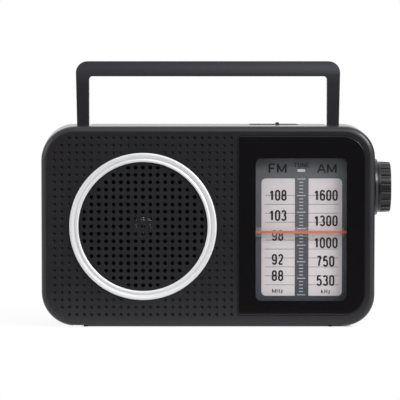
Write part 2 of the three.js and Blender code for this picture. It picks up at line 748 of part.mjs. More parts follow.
function transformerWinding() {
  const { x, y, z, limb, yoke, clear } = MAINS;
  const across = [x[0] + yoke - 2 + clear, x[1] - yoke + 2 - clear];
  const coil = block(across, [y[0] - 5.5, y[1] + 5.5], [z[0] + yoke + clear, z[1] - yoke - clear]);
  const limbZ = [z[0] + yoke + limb - GAP, z[1] - yoke - limb + GAP];
  const hole = block([across[0] - 1, across[1] + 1], [y[0] - GAP, y[1] + GAP], limbZ);
  return cut(coil, hole);
}

function mainsInlet() {
  const { x, z, deep, pin, pinX } = INLET;
  const body = block(x, [REAR - deep, REAR], z);
  const flange = block([x[0] - 3, x[1] + 3], [REAR - 4.5, REAR - 2.6], [z[0] - 2.5, z[1] + 2.5]);
  const pocket = block([x[0] + 1.5, x[1] - 1.5], [REAR - 17, REAR + 1], [z[0] + 2.5, z[1] - 2.5]);
  const middle = (z[0] + z[1]) / 2;
  const pins = pinX.map((at) => bar("y", [at, REAR - 18, middle], pin, 10, 8));
  return joined([cut(body.add(flange), pocket), ...pins]);
}

function earphoneSocket() {
  const { y, z, nose, bore, deep } = JACK;
  const body = block([-HALF + CASE.wall + GAP, -HALF + deep], [y - 5, y + 5], [z - 5, z + 5]);
  const front = bar("x", [-HALF + 0.2, y, z], nose, 3);
  return cut(body.add(front), bar("x", [-HALF - 1, y, z], bore, deep - 2, 8));
}

// ------------------------------------------------------------------ battery bay fittings

// A cone spring that stands out from the side wall of the bay.
function batterySpring(z, x, side) {
  const turns = 3;
  const perTurn = 8;
  const count = turns * perTurn;
  const points = Array.from({ length: count + 1 }, (_, step) => {
    const angle = (step / perTurn) * 2 * Math.PI;
    const radius = SPRING.wide - ((SPRING.wide - SPRING.narrow) * step) / count;
    const along = x - side * (0.8 + (SPRING.high * step) / count);
    return [along, SPRING.y + radius * Math.cos(angle), z + radius * Math.sin(angle)];
  });
  return wire(points, SPRING.wire, count);
}

function batteryContact(z, x, side) {
  const thick = 0.5;
  const button = 1.6;
  const half = 8;
  const plateX = [Math.min(x, x - side * thick), Math.max(x, x - side * thick)];
  const plate = block(plateX, [SPRING.y - half, SPRING.y + half], [z - half, z + half]);
  return plate.add(bar("x", [side > 0 ? x - button : x, SPRING.y, z], 3, button));
}

function batteryDoor() {
  const { left, right, low, high, thick } = DOOR;
  const front = REAR - thick;
  const panel = block([left, right], [front, REAR], [low, high]);
  const middle = (left + right) / 2;
  const trunnion = bar("x", [left - 1.5, HINGE.y, HINGE.z], HINGE.radius, right - left + 3, 6);
  const rib = block([BAY.left + 4, BAY.right - 4], [front - 1.5, REAR - 0.5], [high - 16, high - 10]);
  const grips = [0, 3, 6, 9].map((rise) => {
    const z = high - 14 + rise;
    return block([middle - 9, middle + 9], [REAR - 0.8, REAR + 1], [z, z + 1.4]);
  });
  return cut(joined([panel, trunnion, rib]), ...grips);
}

// ------------------------------------------------------------------ the telescopic antenna

// The disc that swivels on the case, with the two ears that hold the mast's tongue.
function antennaBase() {
  const { x, y, z, base, shaft } = ANTENNA;
  const { half, pin } = TONGUE;
  const disc = bar("y", [x, STEP.y + GAP, z], base, 1.2, 20);
  const stub = bar("y", [x, STEP.y - 6, z], shaft, 6.5);
  const ear = (low) => block([x - 4.5, x + 4], [STEP.y + 1.2, y + 3], [low, low + 2.1]);
  const axle = bar("z", [x - 1, y, z - 4], pin, 8, 8);
  return joined([disc, stub, ear(z - half - 2.4), ear(z + half + GAP), axle]);
}

// The mast's first tube, with the tongue that turns on the base's pin.
function antennaTube() {
  const { x, y, z, end } = ANTENNA;
  const { half, knuckle, bore } = TONGUE;
  const { tube: radius, wall } = MAST;
  const start = x - 7;
  const tongue = block([start - 3, x - 1], [y - knuckle, y + knuckle], [z - half, z + half]);
  const round = bar("z", [x - 1, y, z - half], knuckle, 2 * half);
  const length = start - end;
  const inside = bar("x", [end - 1, y, z], radius - wall, length - 3);
  const tube = cut(bar("x", [end, y, z], radius, length), inside);
  return cut(joined([tube, tongue, round]), bar("z", [x - 1, y, z - 4], bore, 8, 8));
}

function antennaInnerTube() {
  const { y, z, end } = ANTENNA;
  const { inner: radius, wall } = MAST;
  const start = end - 2;
  const tube = bar("x", [start, y, z], radius, 150);
  return cut(tube, bar("x", [start - 1, y, z], radius - wall, 148));
}

function antennaRod() {
  const { y, z, end } = ANTENNA;
  const rod = bar("x", [end - 5, y, z], MAST.rod, 148, 12);
  return rod.add(bar("x", [end - 8, y, z], MAST.tube, 5.5));
}

// ------------------------------------------------------------------ the assembly

function finish(colour, roughness, metalness = 0) {
  return new THREE.MeshStandardMaterial({ color: colour, roughness, metalness });
}

const FINISH = {
  shell: finish(0x2d2c2f, 0.5),
  knob: finish(0x353337, 0.45),
  rubber: finish(0x1a1a1a, 0.9),
  black: finish(0x1a1a1c, 0.5),
  gloss: finish(0x101011, 0.08),
  clear: finish(0xd0d4d8, 0.4),
  print: finish(0xc0bcba, 0.6),
  lamp: finish(0xe8ecf0, 0.3),
  red: finish(0xe0522e, 0.3),
  nylon: finish(0xe4e0d4, 0.5),
  cord: finish(0xd8d0b8, 0.9),
  paper: finish(0x2a2826, 0.9),
  board: finish(0x1f5a34, 0.5),
  blue: finish(0x1c2c50, 0.4),
  tape: finish(0xc8b040, 0.6),
  ferrite: finish(0x3a3a3c, 0.7),
  silver: finish(0xd6d6d8, 0.35, 0.6),
  steel: finish(0xa4a4a8, 0.4, 1),
  chrome: finish(0xd0d0d4, 0.15, 1),
  copper: finish(0xb87333, 0.4, 1),
};

const radio = new THREE.Group();
radio.position.set(-(KNOB.end - HALF) / 2, -(REAR - RING.proud) / 2, 0);

function place(name, body, material) {
  const mesh = new THREE.Mesh(geometryOf(body), material);
  mesh.name = name;
  radio.add(mesh);
}

place("front_cabinet", frontCabinet(), FINISH.shell);
place("rear_cabinet", rearCabinet(), FINISH.shell);
for (const [index, [x, z]] of SCREWS.entries()) {
  place("cabinet_screw_" + (index + 1), cabinetScrew(x, z), FINISH.steel);
}
for (const [end, y] of [["front", FOOT.frontY], ["rear", FOOT.rearY]]) {
  place("foot_" + end + "_left", foot(-FOOT.x, y), FINISH.rubber);
  place("foot_" + end + "_right", foot(FOOT.x, y), FINISH.rubber);
}

place("speaker_trim_ring", trimRing(), FINISH.silver);
place("dial_window", dialWindow(), FINISH.gloss);
place("dial_plate", dialPlate(), FINISH.print);
place("tune_lamp", tuneLamp(), FINISH.lamp);
place("dial_pointer", dialPointer(), FINISH.red);
place("pointer_rail", pointerRail(), FINISH.steel);

place("tuning_knob", tuningKnob(), FINISH.knob);
place("knob_plate", knobPlate(), FINISH.knob);
place("tuning_shaft", tuningShaft(), FINISH.nylon);
place("shaft_bracket", shaftBracket(), FINISH.steel);
place("dial_drum", dialDrum(), FINISH.nylon);
place("idler_wheel_upper", idlerWheel(IDLER.high), FINISH.nylon);
place("idler_wheel_lower", idlerWheel(IDLER.low), FINISH.nylon);
place("dial_cord", dialCord(), FINISH.cord);
place("tuning_capacitor", tuningCapacitor(), FINISH.clear);

place("band_slider", bandSlider(), FINISH.knob);
place("band_switch", bandSwitchBody(), FINISH.steel);
place("volume_wheel", volumeWheel(), FINISH.knob);
place("volume_control", volumeControl(), FINISH.steel);
place("handle", handle(), FINISH.knob);
place("handle_pin_left", handlePin(-1), FINISH.steel);
place("handle_pin_right", handlePin(1), FINISH.steel);

place("speaker_gasket", speakerGasket(), FINISH.rubber);
place("speaker_frame", speakerFrame(), FINISH.steel);
place("speaker_surround", speakerSurround(), FINISH.rubber);
place("speaker_cone", speakerCone(), FINISH.paper);
place("speaker_dust_cap", dustCap(), FINISH.chrome);
place("voice_coil", voiceCoil(), FINISH.copper);
place("speaker_top_plate", speakerTopPlate(), FINISH.steel);
place("speaker_magnet", speakerMagnet(), FINISH.ferrite);
place("speaker_yoke", speakerYoke(), FINISH.steel);

place("circuit_board", circuitBoard(), FINISH.board);
place("radio_chip", onBoard([22, 41], [92, 99], 3.5), FINISH.black);
place("if_transformer", onBoard([50, 58], [86, 94], 11), FINISH.steel);
place("filter_capacitor", filterCapacitor(), FINISH.blue);
place("ferrite_rod", ferriteRod(), FINISH.ferrite);
place("transformer_core", transformerCore(), FINISH.steel);
place("transformer_winding", transformerWinding(), FINISH.tape);
place("mains_inlet", mainsInlet(), FINISH.black);
place("earphone_socket", earphoneSocket(), FINISH.black);

const ROW = { upper: 48.5, lower: 21.5 };
place("battery_spring_upper", batterySpring(ROW.upper, BAY.right, 1), FINISH.steel);
place("battery_spring_lower", batterySpring(ROW.lower, BAY.left, -1), FINISH.steel);
place("battery_contact_upper", batteryContact(ROW.upper, BAY.left + GAP, -1), FINISH.steel);
place("battery_contact_lower", batteryContact(ROW.lower, BAY.right - GAP, 1), FINISH.steel);
place("battery_door", batteryDoor(), FINISH.shell);

place("antenna_base", antennaBase(), FINISH.chrome);
place("antenna_tube", antennaTube(), FINISH.chrome);
place("antenna_inner_tube", antennaInnerTube(), FINISH.chrome);
place("antenna_rod", antennaRod(), FINISH.chrome);

export default radio;
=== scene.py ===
"""A portable AM/FM table radio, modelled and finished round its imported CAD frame.

Lengths are metres and Z is up. The radio faces -Y, and +X is to the right of its front. Most places
come from the boxes of the CAD nodes. The others are given by `spot`: to the right of the case's
middle, behind its front face and above the table.
"""

import json
import math
from functools import partial

import bmesh
import bpy
from bpy.props import FloatProperty, FloatVectorProperty, IntProperty, PointerProperty
from bpy.types import Operator, Panel, PropertyGroup, Scene
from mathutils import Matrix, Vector


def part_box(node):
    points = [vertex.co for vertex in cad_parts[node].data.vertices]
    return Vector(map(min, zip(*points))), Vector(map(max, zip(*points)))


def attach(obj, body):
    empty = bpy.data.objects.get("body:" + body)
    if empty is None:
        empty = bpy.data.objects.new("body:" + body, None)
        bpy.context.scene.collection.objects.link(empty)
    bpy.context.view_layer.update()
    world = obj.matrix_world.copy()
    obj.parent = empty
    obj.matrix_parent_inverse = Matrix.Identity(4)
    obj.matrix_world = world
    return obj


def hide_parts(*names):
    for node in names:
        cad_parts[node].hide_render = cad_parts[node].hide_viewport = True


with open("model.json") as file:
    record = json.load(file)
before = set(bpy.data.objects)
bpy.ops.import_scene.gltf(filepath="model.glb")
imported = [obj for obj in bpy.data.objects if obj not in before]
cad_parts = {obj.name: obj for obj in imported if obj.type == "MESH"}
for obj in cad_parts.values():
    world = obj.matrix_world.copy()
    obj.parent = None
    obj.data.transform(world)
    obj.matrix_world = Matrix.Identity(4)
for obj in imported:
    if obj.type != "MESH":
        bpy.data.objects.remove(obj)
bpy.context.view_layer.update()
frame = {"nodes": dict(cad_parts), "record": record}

bl_info = {
    "name": "Table radio",
    "version": (1, 0, 0),
    "blender": (4, 5, 0),
    "location": "View3D > Sidebar > Radio",
    "description": "Models a portable table radio round its CAD frame",
    "category": "Add Mesh",
}

MM = 0.001
GAP = 0.3 * MM
CLOSE = 1e-6  # Points nearer than this count as one.
RING_WIDTH = 6.6 * MM
RING_VALLEY = 0.6  # Where the ring is lowest, as a share of its width from its outer edge.
DIAL_FACE = 6 * MM  # How far the printed plate lies behind the case's face.
INK = 0.1 * MM
# Heights of the station numbers, in millimetres.
FM_MARKS = {"108": 95.5, "103": 80.9, "98": 66.4, "92": 49.0, "88": 37.25}
AM_MARKS = {"1600": 95.5, "1300": 77.0, "1000": 61.1, "750": 47.7, "530": 33.7}
STRIP_LINES = 11
FIRST_LINE = 95.5 * MM
RULE_TICKS = 36
FIRST_TICK = 107.3 * MM
SCREWS = range(1, 5)
FRONT_LOW, FRONT_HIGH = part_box("front_cabinet")
REAR_LOW, REAR_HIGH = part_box("rear_cabinet")
MIDDLE = (FRONT_LOW.x + FRONT_HIGH.x) / 2
FACE = FRONT_LOW.y
BOTTOM = FRONT_LOW.z
TOP = FRONT_HIGH.z
BACK = REAR_HIGH.y
SEAM = REAR_LOW.y - GAP / 2
AXES = {"X": Vector((1, 0, 0)), "Y": Vector((0, 1, 0)), "Z": Vector((0, 0, 1))}
ACROSS = {"X": Vector((0, 0, 1)), "Y": Vector((0, 0, 1)), "Z": Vector((1, 0, 0))}
TURNS = {"X": (0, math.pi / 2, 0), "Y": (-math.pi / 2, 0, 0), "Z": (0, 0, 0)}


def spot(x, y, z):
    """A point right of the case's middle, behind its front face and above the table."""
    return Vector((MIDDLE + x, FACE + y, z))


# ------------------------------------------------------------------ sizes and colours


def length(name, description, default):
    """A length that the sidebar shows with its unit."""
    return FloatProperty(
        name=name, description=description, default=default, precision=5, unit="LENGTH"
    )


def number(name, description, default):
    """A count that is at least one."""
    return IntProperty(name=name, description=description, default=default, min=1)


def colour(name, description, default):
    """A linear colour."""
    return FloatVectorProperty(
        name=name, description=description, default=default, size=3, min=0, max=1, subtype="COLOR"
    )


class CaseSizes(PropertyGroup):
    corner: length("Corner", "Radius of the case's four corners", 0.0216)
    left_corner: length("Left front corner", "Radius of the front face's left corners", 0.0252)
    right_corner: length("Right front corner", "Radius of the front face's right corners", 0.0226)
    front_edge: length("Front edge", "Rounding between the front face and the sides", 0.0045)
    rear_edge: length("Rear edge", "Rounding between the rear face and the sides", 0.003)
    wall: length("Wall", "Thickness of the shells", 0.0022)
    foot_line: length("Foot line", "Height of the rebate under the front edge", 0.0009)
    step_depth: length("Step depth", "Depth behind the face above the antenna's step", 0.060)
    step_height: length("Step height", "Height of the antenna's step", 0.112)
    slot_inner: length("Leg slot inside", "Inner side of a handle slot from the middle", 0.0859)
    slot_outer: length("Leg slot outside", "Outer side of a handle slot from the middle", 0.097)
    slot_floor: length("Leg slot floor", "Height of the floor of a handle slot", 0.1345)


class GrilleSizes(PropertyGroup):
    pitch: length("Pitch", "Distance between two dots of the grid", 0.00532)
    hole: length("Hole", "Radius of a sound hole", 0.0015)
    dimple: length("Dimple", "Radius of a blind dimple", 0.00125)
    dimple_depth: length("Dimple depth", "Depth of a blind dimple", 0.0013)
    dots: number("Dots", "Dots along a side of the grid", 25)
    open_span: number("Open span", "Largest squared distance of a hole, in pitches", 70)
    blind_span: number("Blind span", "Smallest squared distance of a dimple, in pitches", 107)


class DialSizes(PropertyGroup):
    panel_left: length("Left corners", "Radius of the glazing's left corners", 0.0015)
    panel_right: length("Right corners", "Radius of the glazing's right corners", 0.0165)
    window_left: length("Window left", "Left edge of the clear window", 0.0343)
    window_right: length("Window right", "Right edge of the clear window", 0.1001)
    window_low: length("Window low", "Lower edge of the clear window", 0.0193)
    window_high: length("Window high", "Upper edge of the clear window", 0.1225)
    window_corner: length("Window corner", "Radius of the window's corners", 0.0041)
    strip_low: length("Strip low", "Lower edge of the light strips", 0.0226)
    strip_high: length("Strip high", "Upper edge of the light strips", 0.1077)
    strip_corner: length("Strip corner", "Radius of the strips' outer corners", 0.0032)
    digit_height: length("Digit height", "Height of the station numbers", 0.0082)
    digit_weight: length("Digit weight", "Thickness of the numbers' strokes", 0.00146)
    digit_pitch: length("Digit pitch", "From one figure of a number to the next", 0.00455)
    rule_pitch: length("Rule pitch", "Distance between two ticks of the rule", 0.0024)
    line_pitch: length("Line pitch", "Distance between two lines of a strip", 0.00649)
    pointer_line: length("Pointer line", "Thickness of the pointer's line", 0.0019)


class KnobSizes(PropertyGroup):
    taper: length("Taper", "How much narrower the grip is at its end", 0.0005)
    flutes: number("Flutes", "Grooves round the tuning knob", 20)
    groove: length("Groove", "Radius of the tool that cuts a groove", 0.0020)
    teeth: number("Teeth", "Ridges round the volume wheel", 36)


class HandleSizes(PropertyGroup):
    bar: length("Bar", "Height of the handle's bar", 0.011)
    leg: length("Leg", "Inner side of a leg from the middle", 0.087)
    foot: length("Foot", "Outer side of a leg's end from the middle", 0.0955)
    outer_corner: length("Outer corner", "Outer radius between bar and leg", 0.0083)
    inner_corner: length("Inner corner", "Inner radius between bar and leg", 0.0025)
    edge: length("Edge", "Rounding of the handle's long edges", 0.0014)
    pivot: length("Pivot", "Height of the pivot pins", 0.1395)


class SpeakerSizes(PropertyGroup):
    cap: length("Dust cap", "Radius of the dome in the middle of the cone", 0.0119)
    cap_rise: length("Dome rise", "How far the dome stands proud", 0.0057)
    cone: length("Cone", "Outer radius of the cone", 0.0376)
    surround: length("Surround", "Outer radius of the surround", 0.0442)


class RadioColours(PropertyGroup):
    shell: colour("Shell", "Moulded case", (0.0122, 0.0112, 0.0134))
    handle: colour("Handle", "Moulded handle", (0.0122, 0.0122, 0.0150))
    knob: colour("Knob", "Controls", (0.0150, 0.0150, 0.0172))
    glazing: colour("Glazing", "Black back-printing of the dial window", (0.0030, 0.0026, 0.0030))
    silver: colour("Silver", "Lacquer of the trim ring", (0.668, 0.67, 0.683))
    slate: colour("Slate", "Ground of the dial", (0.127, 0.132, 0.139))
    strip: colour("Strip", "Light strips of the dial", (0.655, 0.616, 0.63))
    ink: colour("Ink", "Dark numbers", (0.006, 0.006, 0.007))
    rule: colour("Rule", "Light ticks between the strips", (0.52, 0.53, 0.55))
    pointer: colour("Pointer", "Line of the dial pointer", (0.60, 0.132, 0.054))
    lamp: colour("Lamp", "Tuning lamp", (0.62, 0.64, 0.66))
    rubber: colour("Rubber", "Feet and speaker surround", (0.012, 0.012, 0.013))
    steel: colour("Steel", "Plain and zinc-plated steel", (0.45, 0.45, 0.46))
    chrome: colour("Chrome", "Polished plating", (0.62, 0.62, 0.64))


class StageSettings(PropertyGroup):
    distance: length("Distance", "From the camera to its target", 2.0)
    elevation: FloatProperty(
        name="Elevation", description="Height of the camera's view", default=math.radians(3.5),
        subtype="ANGLE",
    )
    lens: FloatProperty(
        name="Lens", description="Focal length", default=249.7, unit="CAMERA", subtype="DISTANCE_CAMERA"
    )
    key: FloatProperty(name="Key", description="Watts of the large front softbox", default=24)
    fill: FloatProperty(name="Fill", description="Watts of the side softboxes", default=6)
    ambient: FloatProperty(name="Ambient", description="Strength of the world's soft light", default=0.92)


# ------------------------------------------------------------------ modelling by hand


def clear_selection():
    bpy.ops.object.select_all(action="DESELECT")


def activate(piece):
    clear_selection()
    piece.select_set(True)
    bpy.context.view_layer.objects.active = piece


def settle(name):
    """Applies the active object's place to its mesh and names both."""
    bpy.ops.object.transform_apply(location=True, rotation=True, scale=True)
    piece = bpy.context.object
    piece.name = name
    piece.data.name = name
    return piece


def cuboid(name, low, high):
    """A box between two corners."""
    clear_selection()
    low, high = Vector(low), Vector(high)
    bpy.ops.mesh.primitive_cube_add(size=1, location=(low + high) / 2, scale=high - low)
    return settle(name)


def rod(name, start, axis, reach, radius, sides=32, end_radius=None):
    """A round bar from a point along an axis, tapering if its end has its own radius."""
    clear_selection()
    bpy.ops.mesh.primitive_cone_add(
        vertices=sides,
        radius1=radius,
        radius2=radius if end_radius is None else end_radius,
        depth=reach,
        location=Vector(start) + AXES[axis] * reach / 2,
        rotation=TURNS[axis],
    )
    return settle(name)


def edit(piece, kind):
    """Opens a mesh with nothing selected."""
    activate(piece)
    bpy.ops.object.mode_set(mode="EDIT")
    bpy.ops.mesh.select_mode(type=kind)
    bpy.ops.mesh.select_all(action="DESELECT")


def leave():
    bpy.ops.object.mode_set(mode="OBJECT")


def pick(piece, kind, test):
    """Opens a mesh with those of its faces, edges or vertices selected that pass a test."""
    edit(piece, kind)
    mesh = bmesh.from_edit_mesh(piece.data)
    elements = {"VERT": mesh.verts, "EDGE": mesh.edges, "FACE": mesh.faces}[kind]
    for element in elements:
        if test(element):
            element.select_set(True)
    mesh.select_flush_mode()
    bmesh.update_edit_mesh(piece.data)


def runs_along(axis, place=None):
    """A test for the edges that run along an axis, and whose middle passes a test of its place."""

    def test(edge):
        step = edge.verts[1].co - edge.verts[0].co
        along = abs(step.dot(AXES[axis])) > 0.999 * step.length
        return along and (place is None or place(middle_of(edge)))

    return test


def lies_at(axis, value):
    """A test for the edges or faces that lie in a plane across an axis."""

    def test(element):
        return all(abs(vertex.co.dot(AXES[axis]) - value) < CLOSE for vertex in element.verts)

    return test


def middle_of(element):
    """The mean place of the corners of a face or an edge."""
    return sum((vertex.co for vertex in element.verts), Vector()) / len(element.verts)


def round_edges(piece, test, width, segments):
    """Rounds the edges that pass a test."""
    pick(piece, "EDGE", test)
    bpy.ops.mesh.bevel(offset=width, segments=segments, affect="EDGES", clamp_overlap=False)
    leave()


def apply_modifier(piece, kind, **settings):
    activate(piece)
    modifier = piece.modifiers.new(kind.title(), kind)
    for key, value in settings.items():
        setattr(modifier, key, value)
    bpy.ops.object.modifier_apply(modifier=modifier.name)


def soften(piece, width, segments=2, angle=40):
    """Rounds every edge that is sharper than an angle in degrees."""
    apply_modifier(
        piece, "BEVEL", width=width, segments=segments, limit_method="ANGLE",
        angle_limit=math.radians(angle), use_clamp_overlap=True,
    )


def combine(piece, operation, tools):
    """Applies solid tools to a piece, one after another, and removes them."""
    for tool in tools:
        apply_modifier(piece, "BOOLEAN", object=tool, operation=operation, solver="MANIFOLD")
        bpy.data.objects.remove(tool)
    return piece


def carve(piece, *tools):
    return combine(piece, "DIFFERENCE", tools)


def fuse(piece, *tools):
    return combine(piece, "UNION", tools)


def join(name, pieces):
    """Makes several loose pieces one object."""
    clear_selection()
    for piece in pieces:
        piece.select_set(True)
    bpy.context.view_layer.objects.active = pieces[0]
    bpy.ops.object.join()
    return settle(name)


def slab(name, low, high, corner, axis="Y", segments=8):
    """A box whose four edges along an axis are rounded."""
    piece = cuboid(name, low, high)
    round_edges(piece, runs_along(axis), corner, segments)
    return piece


def turned(name, outline, centre, axis, steps):
    """A piece turned about an axis from an outline of (radius, height) points."""
    clear_selection()
    centre = Vector(centre)
    points = [centre + ACROSS[axis] * radius + AXES[axis] * height for radius, height in outline]
    # A small plane, merged to one vertex, is the point that the outline is drawn from.
    bpy.ops.mesh.primitive_plane_add(size=MM, location=points[0])
    piece = settle(name)
    edit(piece, "VERT")
    bpy.ops.mesh.select_all(action="SELECT")
    bpy.ops.mesh.merge(type="CENTER")
    for here, there in zip(points, points[1:]):
        bpy.ops.mesh.extrude_vertices_move(TRANSFORM_OT_translate={"value": there - here})
    bpy.ops.mesh.select_all(action="SELECT")
    bpy.ops.mesh.spin(steps=steps, angle=2 * math.pi, center=centre, axis=AXES[axis])
    bpy.ops.mesh.select_all(action="SELECT")
    bpy.ops.mesh.remove_doubles(threshold=CLOSE)
    bpy.ops.mesh.normals_make_consistent(inside=False)
    leave()
    return piece


def bow(centre_x, centre_z, radius_x, radius_z, start, end, steps=9):
    """Points along part of an ellipse, between two angles in degrees."""
    turns = [math.radians(start + (end - start) * step / steps) for step in range(steps + 1)]
    return [
        (centre_x + radius_x * math.cos(turn), centre_z + radius_z * math.sin(turn))
        for turn in turns
    ]


def arc(centre, radius, start, end, steps):
    """Points along part of a circle, between two angles in degrees."""
    return bow(*centre, radius, radius, start, end, steps)


def spread_round(tool, count, centre, axis):
    """Copies a tool round an axis, and joins the copies."""
    copies = [tool]
    for index in range(1, count):
        activate(tool)
        bpy.ops.object.duplicate()
        copy = bpy.context.object
        edit(copy, "VERT")
        bpy.ops.mesh.select_all(action="SELECT")
        bpy.ops.transform.rotate(
            value=2 * math.pi * index / count, orient_axis=axis, center_override=centre
        )
        leave()
        copies.append(copy)
    return join(tool.name, copies)


def spread_grid(tool, count, pitch, keep):
    """Copies a tool over a square grid in the face's plane where keep(column, row) holds."""
    corner = middle_of_mesh(tool)
    for offset in (AXES["X"], AXES["Z"]):
        apply_modifier(
            tool, "ARRAY", count=count, use_relative_offset=False, use_constant_offset=True,
            constant_offset_displace=offset * pitch,
        )
    reach = (count - 1) // 2

    def dropped(vertex):
        column = round((vertex.co.x - corner.x) / pitch) - reach
        row = round((vertex.co.z - corner.z) / pitch) - reach
        return not keep(column, row)

    pick(tool, "VERT", dropped)
    bpy.ops.mesh.delete(type="VERT")
    leave()


def middle_of_mesh(piece):
    """The middle of the box round a piece."""
    low = Vector([min(vertex.co[axis] for vertex in piece.data.vertices) for axis in range(3)])
    high = Vector([max(vertex.co[axis] for vertex in piece.data.vertices) for axis in range(3)])
    return (low + high) / 2


# ------------------------------------------------------------------ the dial's characters


def loop(low, high, inset=0.0, end=0.21):
    """A closed stroke with straight sides and bowed ends."""
    half = 0.5 - inset
    head = bow(0.5, high - end, half, end, 0, 180, 8)
    return head + bow(0.5, low + end, half, end, 180, 360, 8) + [head[0]]


def half_turn(strokes):
    """Strokes turned upside down in their box."""
    return [[(1 - x, 1 - z) for x, z in stroke] for stroke in strokes]


# Each character is a list of strokes in a box that is one wide and one high.
SIX = [loop(0, 0.62), bow(0.5, 0.79, 0.5, 0.21, 12, 180, 7) + [(0, 0.3)]]
BOWL = bow(0.48, 0.21, 0.52, 0.21, 0, -165, 7)
STROKES = {
    "0": [loop(0, 1, end=0.22)],
    "1": [[(0.72, 0), (0.72, 1)], [(0.7, 0.97), (0.5, 0.84), (0.14, 0.79)]],
    "2": [bow(0.5, 0.78, 0.49, 0.22, 170, -12, 8) + [(0.72, 0.44), (0.2, 0.2), (0.02, 0.02)],
          [(0, 0), (1, 0)]],
    "3": [bow(0.47, 0.8, 0.47, 0.2, 165, 0, 6) + bow(0.47, 0.73, 0.47, 0.2, 0, -90, 4),
          bow(0.47, 0.33, 0.52, 0.2, 90, 0, 4) + BOWL],
    "5": [[(0.92, 1), (0.12, 1)], [(0.14, 1), (0.05, 0.48)],
          bow(0.48, 0.42, 0.52, 0.21, 150, 0, 6) + BOWL],
    "6": SIX,
    "7": [[(0, 1), (1, 1)], [(0.97, 0.97), (0.6, 0.52), (0.38, 0)]],
    "8": [loop(0.5, 1, 0.05, 0.19), loop(0, 0.52, 0, 0.2)],
    "9": half_turn(SIX),
    "A": [[(0, 0), (0.5, 1)], [(0.5, 1), (1, 0)], [(0.2, 0.34), (0.8, 0.34)]],
    "E": [[(0, 0), (0, 1)], [(0, 1), (0.95, 1)], [(0, 0.52), (0.85, 0.52)], [(0, 0), (0.95, 0)]],
    "F": [[(0, 0), (0, 1)], [(0, 1), (0.95, 1)], [(0, 0.52), (0.8, 0.52)]],
    "H": [[(0, 0), (0, 1)], [(1, 0), (1, 1)], [(0, 0.52), (1, 0.52)]],
    "M": [[(0, 0), (0, 1)], [(0, 1), (0.5, 0.1)], [(0.5, 0.1), (1, 1)], [(1, 1), (1, 0)]],
    "N": [[(0, 0), (0, 1)], [(0, 1), (1, 0)], [(1, 0), (1, 1)]],
    "T": [[(0, 1), (1, 1)], [(0.5, 1), (0.5, 0)]],
    "U": [[(0, 1)] + bow(0.5, 0.3, 0.5, 0.3, 180, 360) + [(1, 1)]],
    "k": [[(0, 0), (0, 1)], [(0, 0.26), (0.85, 0.68)], [(0.35, 0.42), (1, 0)]],
    "z": [[(0, 0.66), (1, 0.66)], [(1, 0.66), (0, 0)], [(0, 0), (1, 0)]],
}
# How wide the characters are that are wider or narrower than the others.
BROAD = {"M": 1.35, "A": 1.3, "z": 0.8}


def lettering(name, text, centre, width, height, weight, space, thick):
    """Flat characters facing the front, drawn with a round pen of the given weight."""
    clear_selection()
    curve = bpy.data.curves.new(name, "CURVE")
    curve.dimensions = "3D"
    curve.bevel_depth = weight / 2
    curve.bevel_resolution = 1
    curve.use_fill_caps = True
    shares = [BROAD.get(letter, 1) for letter in text]
    free = width - weight - (len(text) - 1) * (weight + space)
    left = (weight - width) / 2
    low = (weight - height) / 2
    for letter, share in zip(text, shares):
        broad = free * share / sum(shares)
        for stroke in STROKES[letter]:
            spline = curve.splines.new("POLY")
            spline.points.add(len(stroke) - 1)
            for point, (x, z) in zip(spline.points, stroke):
                point.co = (left + broad * x, 0, low + (height - weight) * z, 1)
        left += broad + weight + space
    letters = bpy.data.objects.new(name, curve)
    bpy.context.collection.objects.link(letters)
    activate(letters)
    bpy.ops.object.convert(target="MESH")
    letters = bpy.context.object
    letters.scale = (1, thick / weight, 1)
    letters.location = centre
    return settle(name)


# ------------------------------------------------------------------ finishing a piece


def fit(piece, body, slot, *nodes, material=None, angle=32):
    """Finishes a piece: its shading, its material, its body and the CAD nodes it stands for."""
    activate(piece)
    bpy.ops.object.shade_smooth_by_angle(angle=math.radians(angle))
    apply_modifier(piece, "WEIGHTED_NORMAL", keep_sharp=True)
    piece.data.materials.clear()
    piece.data.materials.append(finish_of(material or slot))
    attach(piece, body)
    if nodes:
        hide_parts(*nodes)


# ------------------------------------------------------------------ writing materials


class Socket:
    """A value in a material, which Python's sums work on."""

    def __init__(self, paint, socket):
        self.paint = paint
        self.socket = socket

    def __add__(self, other):
        return self.paint.maths("ADD", self, other)

    def __radd__(self, other):
        return self.paint.maths("ADD", other, self)

    def __sub__(self, other):
        return self.paint.maths("SUBTRACT", self, other)

    def __rsub__(self, other):
        return self.paint.maths("SUBTRACT", other, self)

    def __mul__(self, other):
        return self.paint.maths("MULTIPLY", self, other)

    def __rmul__(self, other):
        return self.paint.maths("MULTIPLY", other, self)

    def __gt__(self, other):
        return self.paint.maths("GREATER_THAN", self, other)

    def __lt__(self, other):
        return self.paint.maths("LESS_THAN", self, other)


FINISH_PREFIX = "finish_"


